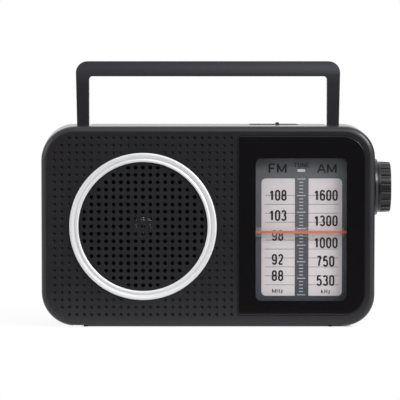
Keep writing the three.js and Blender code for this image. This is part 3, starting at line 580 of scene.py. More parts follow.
class Paint:
    """One node tree. `node` adds any node, with its settings first and then its sockets."""

    def __init__(self, name, world=None):
        """Opens the tree of a new finish, or of a given world."""
        self.material = world or bpy.data.materials.new(FINISH_PREFIX + name)
        self.material.use_nodes = True
        self.tree = self.material.node_tree
        self.tree.nodes.clear()
        if world is None:
            self.coordinates = self.node("ShaderNodeTexCoord", output="Object")

    def node(self, kind, settings=None, inputs=None, output=0):
        node = self.tree.nodes.new(kind)
        for key, value in (settings or {}).items():
            if key == "stops":
                self.set_stops(node.color_ramp, value)
            else:
                setattr(node, key, value)
        for key, value in (inputs or {}).items():
            self.feed(node.inputs[key], value)
        return Socket(self, node.outputs[output]) if node.outputs else node

    def set_stops(self, ramp, stops):
        while len(ramp.elements) < len(stops):
            ramp.elements.new(1)
        for element, (position, shade) in zip(ramp.elements, stops):
            element.position = position
            element.color = (*shade, 1)

    def feed(self, target, value):
        """Links a socket to another's value, or sets its own."""
        if isinstance(value, Socket):
            self.tree.links.new(value.socket, target)
        elif target.type == "RGBA":
            target.default_value = (*tuple(value)[:3], 1)
        else:
            target.default_value = value

    def maths(self, operation, first, second):
        return self.node("ShaderNodeMath", {"operation": operation}, {0: first, 1: second})

    def clamped(self, value):
        return self.node("ShaderNodeClamp", None, {"Value": value})

    def part(self, axis):
        """One coordinate of the point."""
        return self.node("ShaderNodeSeparateXYZ", None, {"Vector": self.coordinates}, axis)

    def stretched(self, scale):
        """The coordinates, scaled by their own amount along each axis."""
        return self.node(
            "ShaderNodeVectorMath", {"operation": "MULTIPLY"}, {0: self.coordinates, 1: scale}
        )

    def noise(self, scale, detail, where=None, roughness=0.5):
        sockets = {
            "Vector": where or self.coordinates, "Scale": scale, "Detail": detail,
            "Roughness": roughness,
        }
        return self.node("ShaderNodeTexNoise", None, sockets)

    def ramp(self, value, *stops):
        """A value spread between low and high marks: each stop is (position, grey)."""
        shades = [(position, (grey, grey, grey)) for position, grey in stops]
        return self.node("ShaderNodeValToRGB", {"stops": shades}, {"Fac": value})

    def blend(self, share, first, second):
        """A colour between two colours."""
        settings = {"data_type": "RGBA"}
        return self.node("ShaderNodeMix", settings, {0: share, 6: first, 7: second}, 2)

    def bump(self, height, depth, strength):
        """The surface's tilt from a height of 0 to 1 that stands for a depth."""
        sockets = {"Strength": strength, "Distance": depth, "Height": height}
        return self.node("ShaderNodeBump", None, sockets)

    def finish(self, **sockets):
        """Ends the tree in a Principled shader with the named sockets."""
        inputs = {
            key.replace("_", " ").title().replace("Ior", "IOR"): value
            for key, value in sockets.items()
        }
        shader = self.node("ShaderNodeBsdfPrincipled", None, inputs)
        self.node("ShaderNodeOutputMaterial", None, {"Surface": shader})
        return self.material


def lighter(shade, factor):
    """A shade made lighter by a factor above one, or darker by one below."""
    return tuple(min(1, part * factor) for part in shade)


def colours():
    return bpy.context.scene.radio_colours


# ------------------------------------------------------------------ the finishes


def moulded(name, shade, rough, grain_scale=2300, depth=0.00002, sheen=0.0, dull=None):
    """Injection-moulded plastic: a fine spark-eroded grain, slight mottling and handling wear.

    The sheen is the smoothness that such a skin shows at a grazing view. An attribute's name
    may be given for places painted darker as shade, which are also made duller.
    """
    paint = Paint(name)
    grain = paint.noise(grain_scale, 3, roughness=0.6)
    mottle = paint.noise(38, 4)
    rubbed = paint.ramp(paint.noise(16, 5, roughness=0.65), (0.55, 0), (0.8, 1))
    tone = paint.blend(mottle, lighter(shade, 0.9), lighter(shade, 1.12))
    tone = paint.blend(rubbed * 0.12, tone, lighter(shade, 1.7))
    roughness = rough + 0.07 * mottle + 0.04 * grain - 0.05 * rubbed
    if dull:
        # Painted shade: the marked places are painted darker, and are also rougher and without the coat.
        mark = paint.node("ShaderNodeAttribute", {"attribute_name": dull}, output="Fac")
        tone = paint.blend(mark, tone, lighter(shade, 0.5))
        roughness = roughness + 0.3 * mark
        sheen = sheen * (1 - mark)
    return paint.finish(
        base_color=tone, roughness=roughness, normal=paint.bump(grain, depth, 0.6), IOR=1.46,
        specular_ior_level=0.38, coat_weight=sheen, coat_roughness=0.08, coat_IOR=1.2,
    )


def case_plastic():
    return moulded("case_plastic", colours().shell, 0.29, depth=0.00001, sheen=0.4)


def front_plastic():
    # The insides of the front's holes and dimples are marked for painted shade.
    return moulded("front_plastic", colours().shell, 0.29, depth=0.00001, sheen=0.4, dull="pit")


def handle_plastic():
    """Coarser plastic, with painted light: the bar is painted paler than the legs, with a painted
    highlight along its middle that grows towards the right.
    """
    paint = Paint("handle_plastic")
    shade = colours().handle
    low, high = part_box("handle")
    bar = bpy.context.scene.radio_handle.bar
    grain = paint.noise(1900, 3, roughness=0.6)
    cloud = paint.noise(30, 4)
    # Painted light: the bar is painted lighter than the legs, and a painted highlight band runs along its
    # middle, brighter towards the right.
    bar_painted_light = paint.clamped((paint.part("Z") - (high.z - 1.5 * bar)) * (1 / bar))
    along = paint.clamped((paint.part("X") - low.x) * (1 / (high.x - low.x)))
    from_highlight_band = paint.maths("ABSOLUTE", paint.part("Z") - (high.z - 0.42 * bar), 0)
    ridge = paint.clamped(1 - from_highlight_band * (2 / bar))
    painted_light = bar_painted_light * (0.3 + 0.12 * cloud) + 0.85 * ridge * along
    tone = paint.blend(cloud, lighter(shade, 0.9), lighter(shade, 1.1))
    tone = paint.blend(painted_light, tone, lighter(shade, 4))
    return paint.finish(
        base_color=tone, roughness=0.38 + 0.08 * grain, normal=paint.bump(grain, 0.00002, 0.6),
        specular_ior_level=0.38,
    )


def knob_plastic():
    return moulded("knob_plastic", colours().knob, 0.16, grain_scale=2600, depth=0.000008)


def silver_trim():
    """Metallic lacquer on plastic: fine flakes, a soft orange-peel, and painted shade that darkens the
    ring's valley.
    """
    paint = Paint("silver_trim")
    low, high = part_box("speaker_trim_ring")
    across = paint.part("X") - (low.x + high.x) / 2
    above = paint.part("Z") - (low.z + high.z) / 2
    radius = paint.maths("SQRT", across * across + above * above, 0)
    valley = (high.x - low.x) / 2 - RING_VALLEY * RING_WIDTH
    from_valley = paint.maths("ABSOLUTE", radius - valley, 0)
    # Painted shade: the band round the valley is painted darker, standing in for the shade that falls
    # there.
    dust = paint.clamped(1 - from_valley * (1 / (0.24 * RING_WIDTH)))
    flake = paint.noise(5200, 2, roughness=0.7)
    cloud = paint.noise(60, 3)
    shade = colours().silver
    tone = paint.blend(flake, lighter(shade, 0.96), lighter(shade, 1.07))
    tone = paint.blend(dust * 0.65, tone, lighter(shade, 0.72))
    peel = paint.bump(paint.noise(650, 2), 0.000008, 0.5)
    return paint.finish(
        base_color=tone, metallic=0.25, roughness=0.33 + 0.06 * cloud + 0.05 * flake, normal=peel
    )


def dial_gloss():
    """Polished acrylic, black behind and clear in the window's rounded rectangle."""
    paint = Paint("dial_gloss")
    dial = bpy.context.scene.radio_dial
    low = spot(dial.window_left, 0, dial.window_low)
    high = spot(dial.window_right, 0, dial.window_high)
    corner = dial.window_corner
    beyond = []
    for axis, near, far in (("X", low.x, high.x), ("Z", low.z, high.z)):
        away = paint.maths("ABSOLUTE", paint.part(axis) - (near + far) / 2, 0)
        beyond.append(paint.maths("MAXIMUM", away - ((far - near) / 2 - corner), 0))
    square = beyond[0] * beyond[0] + beyond[1] * beyond[1]
    masked = square > corner * corner
    smear = paint.noise(24, 4, roughness=0.6)
    scratch = paint.noise(900, 2, where=paint.stretched((0.12, 1, 1)))
    tone = paint.blend(smear, colours().glazing, lighter(colours().glazing, 1.5))
    roughness = 0.035 + 0.035 * smear + 0.02 * scratch
    return paint.finish(
        base_color=tone, roughness=roughness, alpha=0.07 + 0.93 * masked, IOR=1.49
    )


def clear_plastic():
    """Clear polystyrene with faint flow marks."""
    paint = Paint("clear_plastic")
    flow = paint.noise(120, 3, where=paint.stretched((1, 0.3, 0.3)))
    tone = paint.blend(flow, (0.78, 0.76, 0.75), (0.86, 0.84, 0.83))
    return paint.finish(base_color=tone, roughness=0.10 + 0.06 * flow, alpha=0.08 + 0.04 * flow)


def printed(name, shade, rough=0.55, spread=0.05):
    """Screen-printed ink, with the faint unevenness of a thin layer."""
    paint = Paint(name)
    cloud = paint.noise(90, 4)
    weave = paint.noise(3200, 1)
    tone = paint.blend(cloud, lighter(shade, 1 - spread), lighter(shade, 1 + spread))
    return paint.finish(
        base_color=tone, roughness=rough + 0.06 * cloud, normal=paint.bump(weave, 0.000004, 0.3)
    )


def dial_slate():
    """The dial's ground, with painted shade that darkens it and turns it bluer towards its foot."""
    paint = Paint("dial_slate")
    dial = bpy.context.scene.radio_dial
    reach = dial.window_high - dial.window_low
    rise = paint.clamped((paint.part("Z") - dial.window_low) * (1 / reach))
    shade = colours().slate
    # Painted shade: the ground darkens and turns bluer towards the window's lower edge.
    ground = paint.blend(rise, (shade[0] * 0.33, shade[1] * 0.36, shade[2] * 0.46), shade)
    cloud = paint.noise(70, 3)
    tone = paint.blend(cloud * 0.2, ground, lighter(shade, 1.2))
    return paint.finish(base_color=tone, roughness=0.5 + 0.08 * cloud)


def dial_print():
    return printed("dial_print", colours().strip)


def dial_ink():
    return printed("dial_ink", colours().ink, 0.45, 0.2)


def dial_rule():
    return printed("dial_rule", colours().rule, 0.5, 0.08)


def dial_line():
    return printed("dial_line", lighter(colours().strip, 0.22), 0.5, 0.08)


def pointer_red():
    """Orange-red paint, a little uneven along its line."""
    paint = Paint("pointer_red")
    cloud = paint.noise(160, 3)
    shade = colours().pointer
    tone = paint.blend(cloud, lighter(shade, 0.88), lighter(shade, 1.12))
    return paint.finish(base_color=tone, roughness=0.35 + 0.1 * cloud)


def lamp_white():
    """A milky diffuser, dark now, with the light-emitting chip's faint shadow in it."""
    paint = Paint("lamp_white")
    cloud = paint.noise(420, 2)
    tone = paint.blend(cloud, lighter(colours().lamp, 0.85), lighter(colours().lamp, 1.15))
    return paint.finish(base_color=tone, roughness=0.22 + 0.1 * cloud)


def rubber_black():
    """Moulded rubber with a dull, slightly dusty skin."""
    paint = Paint("rubber_black")
    dust = paint.noise(210, 5, roughness=0.7)
    skin = paint.noise(2400, 3)
    tone = paint.blend(dust, lighter(colours().rubber, 0.8), lighter(colours().rubber, 1.9))
    return paint.finish(
        base_color=tone, roughness=0.72 + 0.16 * dust, normal=paint.bump(skin, 0.00003, 0.7)
    )


def steel_plain():
    """Zinc-plated sheet: cloudy, brushed along X, with a few dull spots."""
    paint = Paint("steel_plain")
    brushed = paint.noise(1400, 3, where=paint.stretched((0.06, 1, 1)))
    spangle = paint.node("ShaderNodeTexVoronoi", None, {"Vector": paint.coordinates, "Scale": 420})
    cloud = paint.noise(60, 4)
    shade = colours().steel
    tone = paint.blend(cloud, lighter(shade, 0.8), lighter(shade, 1.12))
    roughness = 0.26 + 0.12 * cloud + 0.08 * brushed + 0.12 * spangle
    return paint.finish(
        base_color=tone, metallic=1, roughness=roughness, normal=paint.bump(brushed, 0.00001, 0.5)
    )


def steel_black():
    """Blackened steel, oiled, with a cloudy bloom."""
    paint = Paint("steel_black")
    cloud = paint.noise(80, 4)
    tone = paint.blend(cloud, (0.012, 0.012, 0.014), (0.030, 0.030, 0.034))
    return paint.finish(base_color=tone, roughness=0.42 + 0.18 * cloud, specular_ior_level=0.4)


def chrome_bright():
    """Bright plating with faint drawing lines along its length and a few finger marks."""
    paint = Paint("chrome_bright")
    drawn = paint.noise(2600, 2, where=paint.stretched((0.03, 1, 1)))
    marks = paint.ramp(paint.noise(55, 4, roughness=0.6), (0.5, 0), (0.75, 1))
    shade = colours().chrome
    tone = paint.blend(marks, shade, lighter(shade, 0.86))
    return paint.finish(
        base_color=tone, metallic=1, roughness=0.07 + 0.1 * marks + 0.05 * drawn,
        normal=paint.bump(drawn, 0.000004, 0.4),
    )


def cap_satin():
    """Spun aluminium foil, dull enough to scatter what comes through the sound holes."""
    paint = Paint("cap_satin")
    spun = paint.noise(900, 3)
    cloud = paint.noise(140, 3)
    tone = paint.blend(cloud, (0.66, 0.66, 0.67), (0.80, 0.80, 0.80))
    return paint.finish(
        base_color=tone, metallic=1, roughness=0.13 + 0.05 * spun,
        normal=paint.bump(spun, 0.00003, 0.5),
    )


def nylon_white():
    """Natural nylon, cloudy and slightly waxy."""
    paint = Paint("nylon_white")
    cloud = paint.noise(110, 3)
    tone = paint.blend(cloud, (0.62, 0.59, 0.50), (0.78, 0.75, 0.67))
    return paint.finish(
        base_color=tone, roughness=0.38 + 0.14 * cloud, normal=paint.bump(cloud, 0.00002, 0.4)
    )


def cord_fibre():
    """Twisted, waxed cord."""
    paint = Paint("cord_fibre")
    settings = {"wave_type": "BANDS", "bands_direction": "DIAGONAL"}
    twist = paint.node(
        "ShaderNodeTexWave", settings,
        {"Vector": paint.coordinates, "Scale": 620, "Distortion": 1.5, "Detail": 2}, "Fac",
    )
    tone = paint.blend(twist, (0.42, 0.36, 0.24), (0.70, 0.64, 0.48))
    return paint.finish(
        base_color=tone, roughness=0.75 + 0.15 * twist, normal=paint.bump(twist, 0.00008, 0.9)
    )


def cone_paper():
    """Pressed paper pulp: short fibres and a soft mottled dye."""
    paint = Paint("cone_paper")
    fibres = paint.noise(1500, 5, roughness=0.7)
    dye = paint.noise(75, 4)
    tone = paint.blend(dye, (0.012, 0.011, 0.010), (0.030, 0.028, 0.026))
    tone = paint.blend(fibres * 0.3, tone, (0.055, 0.052, 0.048))
    return paint.finish(
        base_color=tone, roughness=0.8 + 0.15 * fibres, normal=paint.bump(fibres, 0.00006, 0.8)
    )


def coil_copper():
    """Enamelled wire wound about Y, one turn beside the other."""
    paint = Paint("coil_copper")
    settings = {"wave_type": "BANDS", "bands_direction": "Y"}
    sockets = {"Vector": paint.coordinates, "Scale": 900}
    wound = paint.node("ShaderNodeTexWave", settings, sockets, "Fac")
    tone = paint.blend(wound, (0.30, 0.12, 0.05), (0.72, 0.36, 0.18))
    return paint.finish(
        base_color=tone, metallic=1, roughness=0.25 + 0.2 * wound,
        normal=paint.bump(wound, 0.00005, 0.8),
    )


def ferrite_dark():
    """Sintered ferrite, matt and finely pitted."""
    paint = Paint("ferrite_dark")
    pits = paint.noise(1300, 4, roughness=0.7)
    cloud = paint.noise(90, 3)
    tone = paint.blend(cloud, (0.022, 0.022, 0.026), (0.048, 0.048, 0.055))
    return paint.finish(
        base_color=tone, roughness=0.55 + 0.2 * pits, normal=paint.bump(pits, 0.00004, 0.7)
    )


def board_green():
    """Solder mask over etched tracks, with bright pads."""
    paint = Paint("board_green")
    sockets = {"Vector": paint.stretched((1, 0, 1)), "Scale": 190}
    cells = paint.node("ShaderNodeTexVoronoi", {"distance": "CHEBYCHEV"}, sockets)
    track = paint.ramp(cells, (0.28, 1), (0.32, 0))
    pad = cells < 0.07
    mask = paint.blend(track, (0.006, 0.055, 0.020), (0.012, 0.115, 0.042))
    tone = paint.blend(pad, mask, (0.55, 0.56, 0.55))
    return paint.finish(
        base_color=tone, metallic=pad * 0.9, roughness=0.28 + 0.1 * track,
        normal=paint.bump(track, 0.00003, 0.6),
    )


def part_black():
    return moulded("part_black", (0.012, 0.012, 0.013), 0.42, grain_scale=1700)


def sleeve_blue():
    """A shrunk capacitor sleeve with a pale stripe down one side."""
    paint = Paint("sleeve_blue")
    low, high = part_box("filter_capacitor")
    stripe = paint.part("X") > (high.x - (high.x - low.x) * 0.16)
    cloud = paint.noise(160, 3)
    sleeve = paint.blend(cloud, (0.012, 0.026, 0.09), (0.022, 0.045, 0.15))
    tone = paint.blend(stripe, sleeve, (0.45, 0.50, 0.55))
    return paint.finish(base_color=tone, roughness=0.24 + 0.1 * cloud)


def tape_yellow():
    """Overlapping turns of insulating tape."""
    paint = Paint("tape_yellow")
    settings = {"wave_type": "BANDS", "bands_direction": "Z", "wave_profile": "SAW"}
    lap = paint.node("ShaderNodeTexWave", settings, {"Vector": paint.coordinates, "Scale": 55}, "Fac")
    tone = paint.blend(lap, (0.42, 0.29, 0.03), (0.66, 0.50, 0.08))
    return paint.finish(
        base_color=tone, roughness=0.35 + 0.15 * lap, normal=paint.bump(lap, 0.0001, 0.6)
    )


FINISHES = {
    maker.__name__: maker
    for maker in (
        case_plastic, front_plastic, handle_plastic, knob_plastic, part_black, silver_trim,
        dial_gloss, clear_plastic, dial_slate, dial_print, dial_ink, dial_rule, dial_line,
        pointer_red, lamp_white, rubber_black, steel_plain, steel_black, chrome_bright, cap_satin,
        nylon_white, cord_fibre, cone_paper, coil_copper, ferrite_dark, board_green, sleeve_blue,
        tape_yellow,
    )
}


def finish_of(name):
    """The finish of that name, made when it is first asked for."""
    return bpy.data.materials.get(FINISH_PREFIX + name) or FINISHES[name]()


# ------------------------------------------------------------------ the shells


def case_block(name, low, high, corner, edge_at=0, edge=0, front_corners=None, place=None):
    """A box of the case with its corner edges rounded, then the edge round its face."""
    block = cuboid(name, low, high)
    round_edges(block, runs_along("Y", place), corner, 14)
    if front_corners:
        widen_front_corners(block, low, high, [radius / corner for radius in front_corners])
    if edge:
        round_edges(block, lies_at("Y", edge_at), edge, 6)
    return block


def widen_front_corners(block, low, high, factors):
    """Grows the left and right corner arcs of the front face out of the box's own corners."""
    middle = (low + high) / 2
    left, right = factors
    for x, z, factor in (
        (low.x, low.z, left), (low.x, high.z, left), (high.x, low.z, right), (high.x, high.z, right),
    ):
        pick(
            block, "VERT",
            lambda vertex: abs(vertex.co.y - low.y) < CLOSE
            and (vertex.co.x - middle.x) * (x - middle.x) > 0
            and (vertex.co.z - middle.z) * (z - middle.z) > 0,
        )
        bpy.ops.transform.resize(value=(factor, 1, factor), center_override=(x, low.y, z))
        leave()


def leg_pockets(case, front, back):
    """The walls of both handle slots, and the spaces cut from them, between two depths.

    Each depth is a pair: the walls' own and that of the spaces.
    """
    walls, spaces = [], []
    wall = 1.5 * MM
    for side in (-1, 1):
        near, far = sorted((side * case.slot_inner, side * case.slot_outer))
        low = Vector((MIDDLE + near - wall, front[0], case.slot_floor - wall))
        high = Vector((MIDDLE + far + wall, back[0], TOP - MM))
        walls.append(cuboid("pocket", low, high))
        low = Vector((MIDDLE + near, front[1], case.slot_floor))
        high = Vector((MIDDLE + far, back[1], TOP + MM))
        spaces.append(cuboid("pocket_space", low, high))
    return walls, spaces


def foot_slots(row):
    """The seats of the two feet of the front or the rear row."""
    slots = []
    for side in ("left", "right"):
        low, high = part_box(f"foot_{row}_{side}")
        margin = Vector((GAP, GAP, 0))
        slots.append(cuboid("foot_slot", low - margin, high + margin + Vector((0, 0, GAP))))
    return slots


def is_open(grille, column, row):
    """Whether a dot of the grid, counted from the ring's middle, is a sound hole."""
    return column**2 + row**2 <= grille.open_span


def is_blind(grille, column, row):
    """Whether a dot is a dimple: those beyond the ring, without the last ones at the left."""
    last = (grille.dots - 1) // 2
    from_corner = (column + last) + (last - abs(row))
    return column**2 + row**2 >= grille.blind_span and from_corner >= 2


def grille_dots(grille, ring_middle):
    """The cutters of the sound holes and of the blind dimples that carry on their grid."""
    reach = (grille.dots - 1) / 2 * grille.pitch
    corner = Vector((ring_middle.x - reach, FACE, ring_middle.z - reach))
    hole, dimple, depth = grille.hole, grille.dimple, grille.dimple_depth
    flare = [(0, -MM), (hole + MM, -MM), (hole, 0.15 * MM), (hole, 4 * MM), (0, 4 * MM)]
    holes = turned("hole", flare, corner, "Y", 12)
    bowl = [(0, -MM), (dimple * 1.12, -MM), (dimple * 1.12, -0.02 * MM), (dimple, 0.15 * MM)]
    bowl += [(dimple * 0.9, depth * 0.7), (dimple * 0.5, depth * 0.95), (0, depth)]
    dimples = turned("dimple", bowl, corner, "Y", 10)
    spread_grid(holes, grille.dots, grille.pitch, partial(is_open, grille))
    spread_grid(dimples, grille.dots, grille.pitch, partial(is_blind, grille))
    return holes, dimples


def mark_shaded_pits(shell, grille, ring_middle):
    """Marks the faces inside the holes and dimples, which are painted darker as shade and made duller."""
    marks = shell.data.attributes.new("pit", "FLOAT", "FACE")
    last = (grille.dots - 1) // 2
    for face in shell.data.polygons:
        across, up = (
            (face.center[axis] - ring_middle[axis]) / grille.pitch for axis in (0, 2)
        )
        column, row = round(across), round(up)
        on_grid = max(abs(column), abs(row)) <= last and (
            is_open(grille, column, row) or is_blind(grille, column, row)
        )
        near = math.hypot(across - column, up - row) * grille.pitch < 1.1 * grille.dimple
        deep = 0.1 * MM < face.center.y - FACE < 1.2 * grille.dimple_depth
        marks.data[face.index].value = float(on_grid and near and deep)


def round_panel(panel, dial, left_steps, right_steps):
    """Rounds the small left and the large right corners of the glazing or of its seat."""
    middle = middle_of_mesh(panel).x
    round_edges(panel, runs_along("Y", lambda at: at.x < middle), dial.panel_left, left_steps)
    round_edges(panel, runs_along("Y", lambda at: at.x > middle), dial.panel_right, right_steps)


def dial_seat(dial, case):
    """The recess of the glazing and the opening behind its window."""
    low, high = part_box("dial_window")
    margin = Vector((GAP, 0, GAP))
    seat = cuboid("seat", low - margin - Vector((0, MM, 0)), high + margin + Vector((0, GAP, 0)))
    round_panel(seat, dial, 3, 12)
    opening = slab(
        "opening",
        spot(dial.window_left, -MM, dial.window_low),
        spot(dial.window_right, case.wall + 2 * MM, dial.window_high),
        dial.window_corner,
    )
    return seat, opening


def tongue(case):
    """Two collars on the front shell's rim that reach inside the rear shell and close the seam."""
    collars = []
    thick = MM
    for name, inset, front, back in (
        ("collar", case.wall - 0.1 * MM, SEAM - 4 * MM, SEAM - MM),
        ("tongue", case.wall + 0.12 * MM, SEAM - 3 * MM, SEAM + 1.6 * MM),
    ):
        collar, core = (
            case_block(
                name, (FRONT_LOW.x + step, front - spare, BOTTOM + step),
                (FRONT_HIGH.x - step, back + spare, TOP - step), case.corner - step,
            )
            for step, spare in ((inset, 0), (case.wall + thick, MM))
        )
        collars.append(carve(collar, core))
    return collars


def ring_groove(low, high):
    """The groove for the back of the trim ring, from the ring's box."""
    middle = (low + high) / 2
    radius = (high.x - low.x) / 2
    inner, outer = radius - 7.2 * MM, radius + GAP
    reach = high.y - FACE + MM + GAP
    outline = [(inner, 0), (outer, 0), (outer, reach), (inner, reach), (inner, 0)]
    return turned("groove", outline, (middle.x, FACE - MM, middle.z), "Y", 72)


def bush_way(case):
    """The way of the knob plate's sleeve through the side, half of it in each shell."""
    low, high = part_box("knob_plate")
    start = (MIDDLE + case.corner, SEAM, (low.z + high.z) / 2)
    return rod("bush_way", start, "X", 120 * MM, 4.8 * MM)


class RADIO_OT_front_shell(Operator):
    """Front shell with its sound holes, dimples, dial seat and ring groove"""

    bl_idname = "radio.front_shell"
    bl_label = "Front shell"

    def execute(self, context):
        case, grille = context.scene.radio_case, context.scene.radio_grille
        shell = self.open_shell(case)
        ring_low, ring_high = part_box("speaker_trim_ring")
        ring = (ring_low + ring_high) / 2
        groove = ring_groove(ring_low, ring_high)
        walls, spaces = leg_pockets(
            case, (SEAM - 6.5 * MM, SEAM - 5 * MM), (SEAM - GAP / 2, SEAM + MM)
        )
        fuse(shell, *tongue(case), *walls)
        reach = (FRONT_HIGH.x - FRONT_LOW.x) / 2 - case.corner - MM
        foot_line = cuboid(
            "foot_line", spot(-reach, -MM, BOTTOM - MM), spot(reach, 8 * MM, BOTTOM + case.foot_line)
        )
        carve(shell, *spaces, *foot_slots("front"), foot_line, bush_way(case), groove)
        carve(shell, *dial_seat(context.scene.radio_dial, case))
        carve(shell, *grille_dots(grille, ring))
        fit(
            shell, "cabinet", "case_plastic", "front_cabinet", material="front_plastic", angle=25
        )
        mark_shaded_pits(shell, grille, ring)
        return {"FINISHED"}

    def open_shell(self, case):
        """The plain shell with its rounded corners, open at the back."""
        low = Vector(FRONT_LOW)
        high = Vector((FRONT_HIGH.x, SEAM - GAP / 2, FRONT_HIGH.z))
        corners = (case.left_corner, case.right_corner)
        shell = case_block(
            "front_shell", low, high, case.corner, low.y, case.front_edge, corners
        )
        pick(shell, "FACE", lies_at("Y", high.y))
        bpy.ops.mesh.delete(type="FACE")
        leave()
        apply_modifier(shell, "SOLIDIFY", thickness=case.wall, offset=-1, use_even_offset=True)
        return shell


def rear_solid(case, inset, front):
    """The rear half's outer form, drawn in by an inset: tall in front and low behind the step."""
    edge = case.rear_edge if inset == 0 else 0
    step = FACE + case.step_depth - inset
    left, right = FRONT_LOW.x + inset, FRONT_HIGH.x - inset
    bottom, corner = BOTTOM + inset, case.corner - inset
    tall = case_block(
        "rear_shell", (left, front, bottom), (right, step, TOP - inset), corner, step, edge
    )
    low = case_block(
        "lower", (left, front, bottom), (right, BACK - inset, case.step_height - inset), corner,
        BACK - inset, edge, place=lambda at: at.z < case.step_height / 2,
    )
    return fuse(tall, low)


def battery_bay(case):
    """The bay's walls and ledge, and the spaces cut from them."""
    door_low, door_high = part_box("battery_door")
    left, right = door_low.x + 5.5 * MM, door_high.x - 5.5 * MM
    low, high = 8 * MM, 62 * MM
    wall = 1.6 * MM
    front = FACE + 39 * MM
    inside = BACK - case.wall
    walls = [
        cuboid("bay", (left - wall, front - wall, low - wall), (right + wall, inside - MM, high + wall)),
        cuboid(
            "ledge", (door_low.x - MM, inside - 2.2 * MM, BOTTOM + MM),
            (door_high.x + MM, inside - 0.6 * MM, door_high.z + 2 * MM),
        ),
    ]
    spaces = [
        cuboid("cells", (left, front, low), (right, BACK + MM, high)),
        cuboid(
            "doorway", (door_low.x + 1.2 * MM, inside - 0.6 * MM, door_low.z - 0.7 * MM),
            (door_high.x - 1.2 * MM, BACK + MM, door_high.z + GAP),
        ),
    ]
    return walls, spaces


def rear_ways(case):
    """The openings through the rear shell for its wheel, sockets, bush and antenna."""
    jack_low, jack_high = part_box("earphone_socket")
    jack = (jack_low + jack_high) / 2
    wheel_low, wheel_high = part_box("volume_wheel")
    base_low, base_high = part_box("antenna_base")
    inlet_low, inlet_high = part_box("mains_inlet")
    return [
        slab(
            "wheel_way", (FRONT_HIGH.x - 9 * MM, wheel_low.y - 0.6 * MM, wheel_low.z + MM),
            (FRONT_HIGH.x + MM, wheel_high.y + 0.6 * MM, wheel_high.z - MM), 1.2 * MM, "X",
        ),
        rod("jack_way", (FRONT_LOW.x - MM, jack.y, jack.z), "X", 5 * MM, 3.3 * MM),
        bush_way(case),
        rod(
            "mast_way",
            ((base_low.x + base_high.x) / 2, FACE + case.step_depth - 5 * MM, base_low.z + 6.5 * MM),
            "Y", 10 * MM, 3.3 * MM,
        ),
        slab(
            "inlet_way", (inlet_low.x + 2.7 * MM, BACK - 4 * MM, inlet_low.z + 2.2 * MM),
            (inlet_high.x - 2.7 * MM, BACK + MM, inlet_high.z - 2.2 * MM), 1.5 * MM,
        ),
    ]


def vents(case):
    """Six long slots through the rear wall, one above the other."""
    lowest, pitch = 74, 5
    slots = []
    for index in range(6):
        height = (lowest + pitch * index) * MM
        slots.append(
            slab(
                "vent", spot(-84 * MM, case.step_depth - MM, height),
                spot(-36 * MM, 69 * MM, height + 1.8 * MM), 0.85 * MM, segments=5,
            )
        )
    return slots


def slider_recess():
    """The patch under the band slider and its raised surround, and the ways cut in them."""
    patch = cuboid(
        "patch", spot(28.2 * MM, 39.5 * MM, TOP - 3.4 * MM), spot(68.2 * MM, 52.5 * MM, TOP - MM)
    )
    frame_top = TOP + 0.3 * MM
    surround = slab(
        "surround", spot(30.2 * MM, 41 * MM, TOP - MM), spot(66.2 * MM, 51 * MM, frame_top),
        1.2 * MM, "Z", 5,
    )
    round_edges(surround, lies_at("Z", frame_top), 0.12 * MM, 2)
    recess = slab(
        "recess", spot(31.2 * MM, 42 * MM, TOP - 1.4 * MM), spot(65.2 * MM, 50 * MM, TOP + 2 * MM),
        0.6 * MM, "Z", 4,
    )
    way = cuboid(
        "lever_way", spot(43.7 * MM, 44 * MM, TOP - 5 * MM), spot(52.7 * MM, 48 * MM, TOP)
    )
    return (patch, surround), (recess, way)


class RADIO_OT_rear_shell(Operator):
    """Rear shell with its step for the antenna, battery bay, vents and sockets"""

    bl_idname = "radio.rear_shell"
    bl_label = "Rear shell"

    def execute(self, context):
        case = context.scene.radio_case
        shell = rear_solid(case, 0, SEAM + GAP / 2)
        carve(shell, rear_solid(case, case.wall, SEAM - 2 * MM))
        bay_walls, bay_spaces = battery_bay(case)
        slider_seat, recess = slider_recess()
        step = FACE + case.step_depth
        pocket_walls, pocket_spaces = leg_pockets(
            case, (SEAM + GAP / 2, SEAM - MM), (step - MM, step + 2 * MM)
        )
        sinks = self.screw_posts(shell, case, step)
        fuse(shell, *bay_walls, *slider_seat, *pocket_walls)
        carve(shell, *sinks, *bay_spaces, *recess, *pocket_spaces, *foot_slots("rear"))
        carve(shell, *rear_ways(case), *vents(case))
        fit(shell, "cabinet", "case_plastic", "rear_cabinet", angle=25)
        return {"FINISHED"}

    def screw_posts(self, shell, case, step):
        """Adds the posts of the case screws, and gives the bores and sinks to cut in them."""
        sinks = []
        for index in SCREWS:
            low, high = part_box(f"cabinet_screw_{index}")
            middle = (low + high) / 2
            post_back = (step if middle.z > case.step_height else BACK) - MM
            post = rod(
                "post", (middle.x, SEAM + GAP / 2, middle.z), "Y", post_back - SEAM, 4 * MM, 24
            )
            fuse(shell, post)
            sinks.append(rod("sink", (middle.x, SEAM + 8 * MM, middle.z), "Y", 40 * MM, 3.2 * MM))
            sinks.append(rod("bore", (middle.x, SEAM - MM, middle.z), "Y", 20 * MM, 1.7 * MM, 16))
        return sinks


